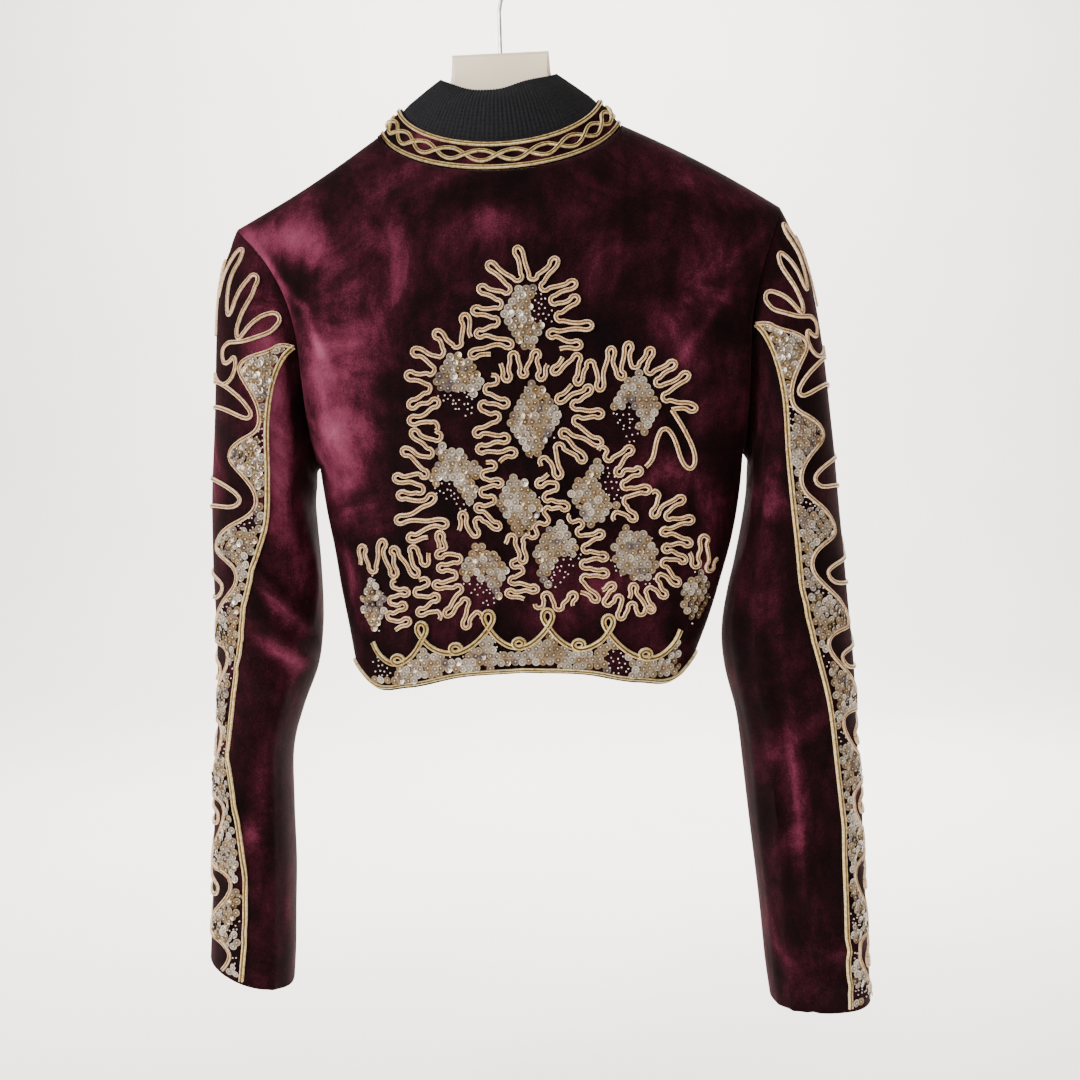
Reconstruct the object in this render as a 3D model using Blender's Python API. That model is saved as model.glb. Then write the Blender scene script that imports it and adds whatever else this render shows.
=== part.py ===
"""A cropped velvet jacket with couched gold cord, hanging on a broad flat hanger.

Tables and sizes are in millimetres and are turned to metres where a mesh is made. +Z is up,
the back of the jacket faces -Y, and +X is the wearer's right. The origin is the inside of the
crown of the hanger's hook, where a rail holds it.
"""

import math

import bmesh
import bpy
import numpy as np

MM = 0.001


def table(names, *rows):
    """A table as one array for each named column."""
    return dict(zip(names.split(), np.array(rows, float).T))


# Cloth and seams
WALL = 2.0  # velvet pile, canvas and backing
SEAM = 0.3  # between two pieces that are sewn together
ARMHOLE_SEAM, NECK_SEAM, RIB_GAP = 0.5, 0.8, 0.6
LIFT = 0.85  # from a panel to the cord couched on it

# The body: the side edges, and how far the middle of back and front stand out
BODY = table(
    "height left  right back front",
    (-557, -130, 139, 60, 58),
    (-530, -134, 150, 63, 61),
    (-500, -139, 160, 66, 64),
    (-470, -143, 169, 70, 67),
    (-440, -148, 175, 76, 70),
    (-405, -152, 179, 80, 72),
    (-370, -155, 181, 81, 72),
    (-335, -157, 182, 80, 70),
    (-305, -160, 184, 77, 67),
    (-275, -169, 191, 72, 62),
    (-245, -187, 202, 66, 56),
    (-218, -212, 212, 60, 50),
)
HEM, UNDERARM, TIP = -557, -405, -218  # heights of the side hem, underarm and shoulder tip
TIP_X = 212
SQUARENESS = 2.4  # 2 is an ellipse; the sleeves flatten the body's sides
ARMHOLE_DEPTH = 46
SHOULDER_ROUNDING, NECK_FADE, NECK_CORNER = 8, 6, 16
SHOULDER_SAG = {"left": 3, "right": -3}
# The hem's height from its middle to the side seam
HEM_LINE = table(
    "across back  front",
    (0.00, -566, -560),
    (0.35, -569, -560),
    (0.65, -577, -561),
    (0.86, -577, -560),
    (1.00, -559, -559),
)
BODY_ROWS_BELOW, BODY_ROWS_ABOVE = 8, 10
SHOULDER_COLUMNS, NECK_COLUMNS, SLEEVE_COLUMNS = 9, 12, 12
FRONT_GAP = 1.0

# The neck seam and the stand collar: rings tilted down towards back and front
NECK_X = -2
NECK = {"half": 94, "back": 52, "front": 50, "side": -150, "back_dip": 42, "front_dip": 58}
STAND = {"half": 77, "back": 45, "front": 43, "side": -129, "back_dip": 40, "front_dip": 50}
RIB_MID = {"half": 58, "back": 42, "front": 40, "side": -118, "back_dip": 21, "front_dip": 28}
RIB_TOP = {"half": 45, "back": 35, "front": 33, "side": -108, "back_dip": 13, "front_dip": 18}
NECK_EASE = 0.15  # rounds the rings where they pass over the shoulders
COLLAR_END = 179.4  # degrees from the middle of the back
RIBS, RIB_HEIGHT = 64, 0.6

# Each sleeve from the armhole to the cuff: its outer and inner line, its middle and half depth,
# and the angle from the outer line at which the outer panel ends
SECTION_COLUMNS = "out_x out_z in_x in_z middle depth seam_back seam_front"
LEFT_SLEEVE = table(
    SECTION_COLUMNS,
    (217, -231, 157, -412, -1, 49, 93, 88),
    (224, -252, 158, -424, -3, 53, 95, 86),
    (229, -290, 159, -440, -4, 56, 100, 84),
    (232, -340, 158, -460, -5, 57, 106, 82),
    (235, -390, 156, -484, -5, 56, 106, 80),
    (239, -440, 155, -512, -4, 54, 96, 78),
    (240, -490, 157, -540, -2, 52, 85, 76),
    (240, -535, 162, -566, 0, 50, 79, 74),
    (241, -580, 175, -598, 2, 47, 75, 74),
    (245, -625, 186, -634, 4, 46, 77, 74),
    (249, -670, 187, -680, 6, 46, 90, 76),
    (253, -715, 188, -730, 8, 44, 99, 76),
    (256, -757, 190, -778, 9, 42, 99, 78),
    (259, -799, 193, -823, 10, 40, 95, 80),
)
RIGHT_SLEEVE = table(
    SECTION_COLUMNS,
    (218, -231, 184, -414, -1, 49, 90, 88),
    (227, -252, 183, -428, -3, 53, 90, 86),
    (236, -290, 181, -445, -4, 56, 92, 84),
    (243, -340, 177, -466, -5, 57, 96, 82),
    (247, -390, 171, -490, -5, 56, 93, 80),
    (251, -440, 164, -516, -4, 54, 88, 78),
    (255, -490, 160, -544, -2, 53, 84, 76),
    (259, -540, 162, -574, 0, 52, 77, 74),
    (262, -590, 170, -610, 2, 50, 70, 72),
    (264, -640, 175, -652, 4, 48, 66, 70),
    (267, -690, 179, -700, 6, 46, 64, 70),
    (268, -740, 184, -748, 8, 45, 65, 70),
    (270, -792, 188, -798, 9, 43, 68, 70),
    (271, -842, 192, -838, 10, 41, 67, 70),
)

# The largest folds, as soft ridges: ends, half width, and height or, below nought, depth
FOLD_COLUMNS = "x0 z0 x1 z1 width height"
BACK_FOLDS = table(
    FOLD_COLUMNS,
    (-168, -270, -118, -450, 15, 5.0),
    (-186, -262, -150, -350, 10, -3.5),
    (-120, -300, -92, -440, 14, -3.0),
    (190, -262, 135, -340, 13, 4.5),
    (160, -310, 172, -410, 11, -4.0),
    (140, -350, 150, -450, 13, 3.5),
    (-120, -462, -20, -470, 12, -2.5),
    (150, -455, 60, -476, 12, -2.5),
)
# On a sleeve x runs round it in degrees from the outer line and z down it in rows of its table
LEFT_SLEEVE_FOLDS = table(
    FOLD_COLUMNS,
    (70, 6.6, 165, 8.1, 12, 4.5),
    (75, 8.0, 165, 9.2, 12, -3.5),
    (130, 1.0, 120, 5.0, 14, 3.5),
    (75, 11.6, 165, 10.4, 12, 3.0),
)
RIGHT_SLEEVE_FOLDS = table(
    FOLD_COLUMNS,
    (125, 4.0, 118, 9.0, 12, 3.5),
    (105, 8.0, 112, 12.0, 12, -3.0),
    (150, 1.5, 135, 6.0, 14, 3.0),
    (75, 12.6, 165, 12.2, 10, 2.5),
)

# Couched cords
CORD, CORD_HEIGHT = 3.2, 1.7
STAND_CORD_INSET = 2.6
EYES, EYE_HALF = 22, 5.0
CROSSING_LIFT = 2.0
HEM_CORD = 2.6
SCALLOPS = (-109, -70, -19, 25, 70, 124)  # places of the cusps along the back hem
SCALLOP_TOP, SCALLOP_FALL = 36, 19
FRONT_SCALLOPS = 3
HEM_CORD_ROW = 0.12
FRONT_CLEAR, FRONT_CORD_INSET = 8, 2.4
BORDER_START, BORDER_INSET = 12, 2.6
WAVE_PITCH, WAVE_HALF, WAVE_NEAR = 60.0, 12.0, 8.4

# The hanger
BOARD_THICK, BOARD_EDGE = 13, 3
SEAT = 4.4  # from the shoulder's line down to the board, past the cloth
PLATE_TOP, PLATE_HALF = -91, 37.5
BOARD_LOWER = table(
    "x    z",
    (206, -230),
    (196, -238),
    (150, -222),
    (100, -203),
    (50, -186),
    (0, -180),
)
WIRE, HOOK_INNER = 3.0, 18.0

COLOURS = {
    "velvet": (0.058, 0.007, 0.019, 1),
    "rib_knit": (0.013, 0.013, 0.016, 1),
    "gold_cord": (0.56, 0.39, 0.17, 1),
    "cream_cord": (0.74, 0.50, 0.31, 1),
    "board": (0.83, 0.73, 0.58, 1),
    "steel": (0.55, 0.55, 0.56, 1),
}
METALLIC = {"gold_cord": 0.5, "cream_cord": 0.3, "steel": 1.0}
ROUGHNESS = {"velvet": 0.85, "rib_knit": 0.9, "gold_cord": 0.45, "board": 0.5, "steel": 0.3}


def smooth(places, values, at):
    """A smooth curve through the values at the places, read at one place or many."""
    if places[0] > places[-1]:
        places, values = places[::-1], values[::-1]
    slopes = np.gradient(values, places)
    at = np.clip(at, places[0], places[-1])
    i = np.clip(np.searchsorted(places, at, "right") - 1, 0, len(places) - 2)
    step = places[i + 1] - places[i]
    t = (at - places[i]) / step
    start = (1 + 2 * t) * (1 - t) ** 2 * values[i] + t * (1 - t) ** 2 * step * slopes[i]
    end = t * t * (3 - 2 * t) * values[i + 1] + t * t * (t - 1) * step * slopes[i + 1]
    return start + end


def ridge(folds, x, z):
    """The sum of the folds at a place: each fades at its ends and across its width."""
    total = 0.0
    for row in zip(*(folds[name] for name in FOLD_COLUMNS.split())):
        x0, z0, x1, z1, width, height = row
        along_x, along_z = x1 - x0, z1 - z0
        length = along_x * along_x + along_z * along_z
        t = min(max(((x - x0) * along_x + (z - z0) * along_z) / length, 0), 1)
        away = math.hypot(x - x0 - t * along_x, z - z0 - t * along_z)
        total += height * math.sin(math.pi * (0.1 + 0.8 * t)) * math.exp(-((away / width) ** 2))
    return total


def eased(c):
    """From nought at the sides of the neck to one at its middle, with a round start."""
    return (math.hypot(c, NECK_EASE) - NECK_EASE) / (math.hypot(1, NECK_EASE) - NECK_EASE)


def neck_ring(ring, angle):
    """A point of a neck ring, by its angle from the middle of the back."""
    c, s = math.cos(angle), math.sin(angle)
    side = "back" if c > 0 else "front"
    y = -ring["back"] * c if c > 0 else -ring["front"] * c
    return np.array([NECK_X + ring["half"] * s, y, ring["side"] - ring[side + "_dip"] * eased(c)])


def shoulder_height(x):
    """The shoulder seam from the side of the neck to the tip, carried on across the neck."""
    t = (abs(x - NECK_X) - NECK["half"]) / (TIP_X - NECK["half"])
    if t < 0:
        crown = (NECK["side"] - TIP) * NECK["half"] / (TIP_X - NECK["half"]) / 2
        return NECK["side"] + crown * (1 - ((x - NECK_X) / NECK["half"]) ** 2)
    sag = SHOULDER_SAG["left" if x < 0 else "right"]
    return NECK["side"] + (TIP - NECK["side"]) * t - sag * math.sin(math.pi * min(t, 1))


def body_heights():
    """Heights of the rows at the side edge: even below the underarm, by angle above it."""
    below = np.linspace(HEM, UNDERARM, BODY_ROWS_BELOW + 1)[:-1]
    turn = np.linspace(math.pi, 0, BODY_ROWS_ABOVE + 1)
    middle, half = (TIP + UNDERARM) / 2, (TIP - UNDERARM) / 2
    return np.concatenate([below, middle + half * np.cos(turn)])


def body_columns():
    """Places across the body from -1 to 1, with one at each side of the neck."""
    neck = NECK["half"] / TIP_X
    turn = np.linspace(-math.pi / 2, math.pi / 2, NECK_COLUMNS + 1)
    first = math.asin(neck ** (SQUARENESS / 2))
    sides = np.linspace(first, math.pi / 2, SHOULDER_COLUMNS + 1)[1:]
    outer = np.sin(sides) ** (2 / SQUARENESS)
    return np.concatenate([-outer[::-1], neck * np.sin(turn), outer])


def armhole_depth(height):
    """How far the armhole's edge stands out from the seam plane at a height."""
    middle, half = (TIP + UNDERARM) / 2, (TIP - UNDERARM) / 2
    if height <= UNDERARM:
        return 0.0
    return ARMHOLE_DEPTH * math.sqrt(max(0, 1 - ((height - middle) / half) ** 2))


def body_point(side, across, height):
    """A point of the back (side -1) or the front (side 1)."""
    name = "back" if side < 0 else "front"
    v = (height - HEM) / (TIP - HEM)
    left, right, depth = (smooth(BODY["height"], BODY[k], height) for k in ("left", "right", name))
    x = (left + right) / 2 + (right - left) / 2 * across
    top_x = TIP_X * across
    closing = math.sqrt(max(0, 1 - v**SHOULDER_ROUNDING))
    fullness = max(0, 1 - abs(across) ** SQUARENESS) ** (1 / SQUARENESS)
    edge = armhole_depth(height)
    y = edge + (depth * closing - edge) * fullness
    shoulder = shoulder_height(top_x + NECK_X)
    hem = smooth(HEM_LINE["across"], HEM_LINE[name], abs(across))
    z = height + (hem - HEM) * (1 - v) ** 3 + (shoulder - TIP) * v**3
    inside = 1 - (top_x / NECK["half"]) ** 2
    if inside > 0:
        dip = math.sqrt(inside)
        reach = v ** (NECK_CORNER * (top_x / NECK["half"]) ** 4)
        y += NECK[name] * dip * (1 - closing) * reach
        z += (NECK["side"] - NECK[name + "_dip"] * eased(dip) - shoulder) * v**NECK_FADE * reach
    x += NECK_X * v**3 * min(1, (1 - abs(across)) / (1 - NECK["half"] / TIP_X))
    if side < 0:
        y += ridge(BACK_FOLDS, x, z) * fullness * closing
    return (x, side * y, z)


def body_grid(side, columns):
    return np.array([[body_point(side, a, h) for a in columns] for h in body_heights()])


def grid_normals(grid, outward):
    """Unit normals of a grid of points, turned to the side that the outward function gives."""
    down = np.gradient(grid, axis=0)
    along = np.gradient(grid, axis=1)
    normals = np.cross(down, along)
    normals /= np.linalg.norm(normals, axis=2, keepdims=True) + 1e-12
    if (normals * outward(grid)).sum() < 0:
        normals = -normals
    return normals


def add_mesh(name, points, faces, colour):
    """An object from points in millimetres, faces turned outwards, with its own material."""
    mesh = bpy.data.meshes.new(name)
    mesh.from_pydata([tuple(p * MM for p in point) for point in points], [], faces)
    shape = bmesh.new()
    shape.from_mesh(mesh)
    bmesh.ops.recalc_face_normals(shape, faces=shape.faces)
    shape.to_mesh(mesh)
    shape.free()
    mesh.shade_smooth()
    mesh.set_sharp_from_angle(angle=math.radians(50))
    material = bpy.data.materials.new(name + "_" + colour)
    material.use_nodes = True
    shader = material.node_tree.nodes["Principled BSDF"]
    shader.inputs["Base Color"].default_value = COLOURS[colour]
    shader.inputs["Roughness"].default_value = ROUGHNESS.get(colour, 0.5)
    shader.inputs["Metallic"].default_value = METALLIC.get(colour, 0)
    mesh.materials.append(material)
    part = bpy.data.objects.new(name, mesh)
    bpy.context.scene.collection.objects.link(part)
    return part


def wall(name, outer, inner, colour):
    """A closed wall between an outer and an inner grid of the same size."""
    rows, columns = outer.shape[:2]
    points = np.concatenate([outer.reshape(-1, 3), inner.reshape(-1, 3)])
    size = rows * columns
    faces = []
    for i in range(rows - 1):
        for j in range(columns - 1):
            a = i * columns + j
            quad = (a, a + 1, a + columns + 1, a + columns)
            faces.append(quad)
            faces.append(tuple(size + k for k in reversed(quad)))
    rim = [(0, j) for j in range(columns - 1)]
    rim += [(i, columns - 1) for i in range(rows - 1)]
    rim += [(rows - 1, j) for j in range(columns - 1, 0, -1)]
    rim += [(i, 0) for i in range(rows - 1, 0, -1)]
    around = [i * columns + j for i, j in rim]
    for a, b in zip(around, around[1:] + around[:1]):
        faces.append((a, b, size + b, size + a))
    return add_mesh(name, points, faces, colour)


def mitre(own, other):
    """The direction of a wall's edge where it meets another, unless they face apart."""
    facing = (own * other).sum(axis=-1, keepdims=True)
    shared = own + other * np.clip(2 * facing, 0, 1)
    return shared / np.linalg.norm(shared, axis=-1, keepdims=True)


def read_grid(grid, i, j):
    """A point or direction between the rows and columns of a grid."""
    rows, columns = grid.shape[:2]
    a, b = min(int(i), rows - 2), min(int(j), columns - 2)
    s, t = i - a, j - b
    near = grid[a, b] * (1 - t) + grid[a, b + 1] * t
    far = grid[a + 1, b] * (1 - t) + grid[a + 1, b + 1] * t
    return near * (1 - s) + far * s


def stations(path):
    """The places of a fine path where it crosses a row or column or turns back, and its ends."""
    path = np.array(path, float)
    found = [path[0]]
    for before, here, after in zip(path, path[1:], path[2:]):
        turns = (here - before) * (after - here) < 0
        crosses = np.floor(before + 1e-6) != np.floor(here + 1e-6)
        if turns.any() or crosses.any():
            found.append(here)
    return found + [path[-1]]


def place_at(grid, x, z):
    """The row and column of a body panel at a place seen from the back or front."""
    j = np.interp(x, grid[0, :, 0], np.arange(grid.shape[1]))
    a = min(int(j), grid.shape[1] - 2)
    heights = grid[:, a, 2] * (1 - j + a) + grid[:, a + 1, 2] * (j - a)
    return np.interp(z, heights, np.arange(grid.shape[0])), j


def body_panels(sleeves):
    """The back in one piece and the two fronts, which meet edge to edge."""
    columns = body_columns()
    panels = {}
    for name, side, use in (
        ("back_panel", -1, columns),
        ("front_left", 1, columns[columns < 0.001]),
        ("front_right", 1, columns[columns > -0.001]),
    ):
        outer = body_grid(side, use)
        normals = grid_normals(outer, lambda grid: np.array([0, side, 0]) + 0 * grid)
        facing = normals.copy()
        for word, column in (("left", 0), ("right", -1)):
            if abs(use[column]) > 0.999:
                ring = tube_normals(sleeves[word][1])[0]
                ring = ring if side < 0 else np.roll(ring[::-1], 1, axis=0)
                rows = slice(BODY_ROWS_BELOW, None)
                facing[rows, column] = mitre(normals[rows, column], ring[BODY_ROWS_ABOVE::-1])
        inner = outer - WALL * facing
        for grid in (outer, inner):
            grid[..., 1] = side * np.maximum(side * grid[..., 1], SEAM / 2)
        if side > 0:
            middle, push = (0, FRONT_GAP / 2) if name == "front_right" else (-1, -FRONT_GAP / 2)
            outer[:, middle, 0] += push
            inner[:, middle, 0] = outer[:, middle, 0]
        wall(name, outer, inner, "velvet")
        panels[name] = (outer, normals)
    return panels


def body_edge_normals(word, panels):
    """The body's normals along one armhole, in the order of the sleeve's ring."""
    column = 0 if word == "left" else -1
    back = panels["back_panel"][1][BODY_ROWS_BELOW:, column][::-1]
    front = panels["front_" + word][1][BODY_ROWS_BELOW:, column][::-1]
    return np.concatenate([back, front[1:-1][::-1]])


def armhole_ring(side):
    """The armhole's edge as angle and point, from the shoulder tip round the back."""
    turn = np.linspace(0, math.pi, BODY_ROWS_ABOVE + 1)
    heights = body_heights()[BODY_ROWS_BELOW:][::-1]
    back = [body_point(-1, side, h) for h in heights]
    front = [body_point(1, side, h) for h in heights[1:-1]][::-1]
    angles = list(turn) + [2 * math.pi - t for t in turn[1:-1][::-1]]
    return np.array(angles), np.array(back + front)


def ellipse_row(side, row, angles):
    """One section of a sleeve: its outer line, inner line and depth give an ellipse."""
    out_point = np.array([side * row["out_x"], row["middle"], row["out_z"]])
    in_point = np.array([side * row["in_x"], row["middle"], row["in_z"]])
    middle, half = (out_point + in_point) / 2, (out_point - in_point) / 2
    c, s = np.cos(angles)[:, None], np.sin(angles)[:, None]
    return middle + half * c + np.array([0, -row["depth"], 0]) * s


def sleeve_grid(side, rows, folds):
    """The sleeve's tube: the armhole's ring first, then a row for each section."""
    angles, ring = armhole_ring(side)
    tip, underarm = ring[0], ring[BODY_ROWS_ABOVE]
    first = {
        "out_x": abs(tip[0]), "out_z": tip[2], "in_x": abs(underarm[0]), "in_z": underarm[2],
        "middle": 0, "depth": ARMHOLE_DEPTH,
    }
    bow = ring - ellipse_row(side, first, angles)
    grid = [ring]
    count = len(rows["out_x"])
    for i in range(count):
        row = {name: rows[name][i] for name in rows}
        fade = max(0, 1 - (i + 1) / 6) ** 1.5
        grid.append(ellipse_row(side, row, angles) + bow * fade)
    grid = np.array(grid)
    normals = tube_normals(grid)
    for i in range(1, count + 1):
        for j, angle in enumerate(np.degrees(angles)):
            grid[i, j] += normals[i, j] * ridge(folds, angle, i - 1)
    return angles, grid


def tube_normals(grid):
    """Outward normals of a tube whose rows are closed rings."""
    wrapped = np.concatenate([grid[:, -1:], grid, grid[:, :1]], axis=1)
    normals = grid_normals(wrapped, lambda g: g - g.mean(axis=1, keepdims=True))
    return normals[:, 1:-1]


def across_seam(grid, normals, angles, at):
    """The tube's line at one angle for each row, and its normals."""
    points, directions = [], []
    for row, normal, angle in zip(grid, normals, at):
        k = np.interp(angle, np.append(angles, 2 * math.pi), np.arange(len(angles) + 1))
        i = int(k) % len(angles)
        j = (i + 1) % len(angles)
        t = k - int(k)
        points.append(row[i] * (1 - t) + row[j] * t)
        directions.append(normal[i] * (1 - t) + normal[j] * t)
    directions = np.array(directions)
    return np.array(points), directions / np.linalg.norm(directions, axis=1, keepdims=True)


def sleeve(word, rows, angles, tube, panels):
    """A two-piece sleeve: the embroidered outer panel and the plain under panel."""
    normals = tube_normals(tube)
    normals[0] = mitre(normals[0], body_edge_normals(word, panels))
    toward = tube[1] - tube[0]
    tube = tube.copy()
    tube[0] += toward / np.linalg.norm(toward, axis=1, keepdims=True) * ARMHOLE_SEAM
    back = np.radians(np.append(rows["seam_back"][:1], rows["seam_back"]))
    front = 2 * math.pi - np.radians(np.append(rows["seam_front"][:1], rows["seam_front"]))
    for name, start, end in (
        ("sleeve_outer_", front - 2 * math.pi, back),
        ("sleeve_under_", back, front),
    ):
        lines, directions = [], []
        for k in range(SLEEVE_COLUMNS + 1):
            at = (start + (end - start) * k / SLEEVE_COLUMNS) % (2 * math.pi)
            line, direction = across_seam(tube, normals, angles, at)
            lines.append(line)
            directions.append(direction)
        outer = np.stack(lines, axis=1)
        facing = np.stack(directions, axis=1)
        for edge, neighbour in ((0, 1), (-1, -2)):
            along = outer[:, neighbour] - outer[:, edge]
            outer[:, edge] += along / np.linalg.norm(along, axis=1, keepdims=True) * SEAM * 0.7
        wall(name + word, outer, outer - WALL * facing, "velvet")
        panels[name + word] = (outer, facing)


def sweep(name, points, normals, width, height, colour, sides=4):
    """A flat-bottomed cord along points, standing out along the normals."""
    points, normals = np.array(points), np.array(normals)
    along = np.gradient(points, axis=0)
    along /= np.linalg.norm(along, axis=1, keepdims=True)
    across = np.cross(along, normals)
    across /= np.linalg.norm(across, axis=1, keepdims=True)
    shapes = {
        3: ((-0.5, 0), (0, 1), (0.5, 0)),
        4: ((-0.5, 0), (-0.28, 1), (0.28, 1), (0.5, 0)),
    }
    corners = []
    for place, normal, beside in zip(points, normals, across):
        for a, b in shapes[sides]:
            corners.append(place + beside * a * width + normal * b * height)
    faces = [tuple(range(sides)), tuple(range(len(corners) - sides, len(corners)))]
    for i in range(len(points) - 1):
        for k in range(sides):
            a, b = i * sides + k, i * sides + (k + 1) % sides
            faces.append((a, b, b + sides, a + sides))
    return add_mesh(name, corners, faces, colour)


def couch(name, panel, path, width, height, colour, sides=4, lifts=None):
    """A cord laid on a panel along rows and columns: the panel's own points, moved out."""
    grid, normals = panel
    points, directions = [], []
    for k, (i, j) in enumerate(path):
        direction = read_grid(normals, i, j)
        direction /= np.linalg.norm(direction)
        lift = LIFT if lifts is None else lifts[k]
        points.append(read_grid(grid, i, j) + direction * lift)
        directions.append(direction)
    return sweep(name, points, directions, width, height, colour, sides)


def stand_grid():
    """The stand collar from the neck seam to its top edge: four columns to each eye."""
    angles = np.radians(np.linspace(-COLLAR_END, COLLAR_END, 4 * EYES + 1))
    low = np.array([neck_ring(NECK, angle) for angle in angles])
    high = np.array([neck_ring(STAND, angle) for angle in angles])
    rise = high - low
    low = low + rise / np.linalg.norm(rise, axis=1, keepdims=True) * NECK_SEAM
    grid = np.array([low, high])
    return grid, grid_normals(grid, lambda g: g - g.mean(axis=(0, 1)))


def collar(panels):
    """The velvet stand collar. Its foot is cut level, to sit on the neck seam."""
    grid, normals = stand_grid()
    facing = normals.copy()
    facing[0, :, 2] = 0
    facing[0] /= np.linalg.norm(facing[0], axis=1, keepdims=True)
    wall("collar_band", grid, grid - WALL * facing, "velvet")
    panels["collar_band"] = (grid, normals)


def rib_collar():
    """The ribbed inner collar: its foot is sewn inside the stand and it narrows to its rim."""
    angles = np.radians(np.linspace(-COLLAR_END, COLLAR_END, 2 * RIBS + 1))
    foot, top, middle, rim = (
        np.array([neck_ring(ring, angle) for angle in angles])
        for ring in (NECK, STAND, RIB_MID, RIB_TOP)
    )
    outward = grid_normals(np.array([foot, top]), lambda g: g - g.mean(axis=(0, 1)))
    inset = outward * (WALL + RIB_GAP)
    grid = np.array([(foot - inset[0]) / 2 + (top - inset[1]) / 2, top - inset[1], middle, rim])
    normals = grid_normals(grid, lambda g: g - g.mean(axis=(0, 1)))
    outer = grid.copy()
    outer[2:, 1::2] += RIB_HEIGHT * normals[2:, 1::2]
    wall("neck_rib", outer, grid - WALL * normals, "rib_knit")


def collar_cords(panels):
    """The stand's two edge cords, and the pair that crosses between them in a row of eyes."""
    panel = panels["collar_band"]
    grid = panel[0]
    count = grid.shape[1]
    height = np.linalg.norm(grid[1] - grid[0], axis=1).mean()
    inset = STAND_CORD_INSET / height
    for name, row in (("collar_cord_lower", inset), ("collar_cord_upper", 1 - inset)):
        path = [(row, j) for j in range(1, count - 1)]
        couch(name, panel, path, CORD, CORD_HEIGHT, "gold_cord")
    for name, way in (("collar_wave_a", 1), ("collar_wave_b", -1)):
        path, lifts = [], []
        for j in range(1, count - 1):
            phase = math.pi * j / 4
            path.append((0.5 + way * math.sin(phase) * EYE_HALF / height, j))
            lifts.append(LIFT + max(0, way * math.cos(phase)) ** 2 * CROSSING_LIFT)
        couch(name, panel, path, CORD * 0.8, CORD_HEIGHT * 0.9, "gold_cord", 3, lifts)


def hem_cords(panels):
    """A cord on the hem's edge and the scalloped cord above it, on the back and both fronts."""
    for name in ("back_panel", "front_left", "front_right"):
        panel = panels[name]
        grid = panel[0]
        word = name.replace("_panel", "")
        first = 0.15 if word == "front_right" else 1.15
        last = grid.shape[1] - (1.15 if word == "front_left" else 2.15)
        across = [first] + list(range(math.ceil(first), math.ceil(last))) + [last]
        path = [(HEM_CORD_ROW, j) for j in across]
        couch("hem_cord_" + word, panel, path, HEM_CORD, CORD_HEIGHT, "gold_cord")
        foot = grid[0, :, 0]
        cusps = np.array(SCALLOPS, float)
        if word == "front_left":
            cusps = np.linspace(foot[1] + FRONT_CLEAR, foot[-1] - FRONT_CLEAR, FRONT_SCALLOPS + 1)
        if word == "front_right":
            cusps = np.linspace(foot[0] + FRONT_CLEAR, foot[-2] - FRONT_CLEAR, FRONT_SCALLOPS + 1)
        fine = []
        for start, end in zip(cusps, cusps[1:]):
            fine += [scallop_place(grid, start + (end - start) * k / 40, k / 40) for k in range(40)]
        fine.append(scallop_place(grid, cusps[-1], 0))
        couch("scallop_cord_" + word, panel, stations(fine), CORD, CORD_HEIGHT, "gold_cord")


def scallop_place(grid, x, t):
    """A place of the scalloped cord: t runs from one cusp to the next."""
    hem = np.interp(x, grid[0, :, 0], grid[0, :, 2])
    return place_at(grid, x, hem + SCALLOP_TOP - SCALLOP_FALL * math.sin(math.pi * t) ** 0.8)


def front_cords(panels):
    """A cord down each front's edge."""
    for word in ("left", "right"):
        panel = panels["front_" + word]
        grid = panel[0]
        edge, beside = (-1, -2) if word == "left" else (0, 1)
        apart = np.linalg.norm(grid[:, edge] - grid[:, beside], axis=1)
        count, last = grid.shape[:2]
        path = []
        for i in [0.5] + list(range(1, count - 1)) + [count - 1.3]:
            inset = FRONT_CORD_INSET / np.interp(i, np.arange(count), apart)
            path.append((i, last - 1 - inset if word == "left" else inset))
        couch("front_cord_" + word, panel, path, CORD, CORD_HEIGHT, "gold_cord")


def sleeve_cords(word, panels):
    """The cord beside each long seam of the outer panel, and the wave next to it."""
    panel = panels["sleeve_outer_" + word]
    grid = panel[0]
    last = grid.shape[1] - 1
    for place, edge in (("back", last), ("front", 0)):
        lengths = np.linalg.norm(np.diff(grid[:, edge], axis=0), axis=1)
        down = np.append(0, np.cumsum(lengths))
        apart = np.linalg.norm(grid[:, edge] - grid[:, abs(edge - 1)], axis=1)
        border, wave = [], []
        for d in np.arange(BORDER_START, down[-1] - 3, 1.0):
            i = np.interp(d, down, np.arange(len(down)))
            column = np.interp(i, np.arange(len(apart)), apart)
            swing = WAVE_NEAR + WAVE_HALF * (1 - math.cos(2 * math.pi * d / WAVE_PITCH))
            border.append((i, abs(edge - BORDER_INSET / column)))
            wave.append((i, abs(edge - swing / column)))
        couch(f"border_cord_{word}_{place}", panel, stations(border), CORD, CORD_HEIGHT, "gold_cord")
        couch(f"wave_cord_{word}_{place}", panel, stations(wave), CORD, CORD_HEIGHT, "cream_cord", 3)


def board_outline(word):
    """One half of the hanger board's outline, from the top of its plate round to its lower edge."""
    top = [(0, PLATE_TOP), (PLATE_HALF, PLATE_TOP), (PLATE_HALF + 1, PLATE_TOP - 16)]
    top += [(42, -124), (50, -142), (66, -152), (84, -156)]
    for x in (100, 122, 145, 170, 190, 203):
        height, slope = side_height(word, x), side_height(word, x + 1) - side_height(word, x)
        top.append((x, height - SEAT * math.hypot(1, slope)))
    lower = list(zip(BOARD_LOWER["x"], BOARD_LOWER["z"]))
    return top + lower


def side_height(word, x):
    return shoulder_height(-x if word == "left" else x)


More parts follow.
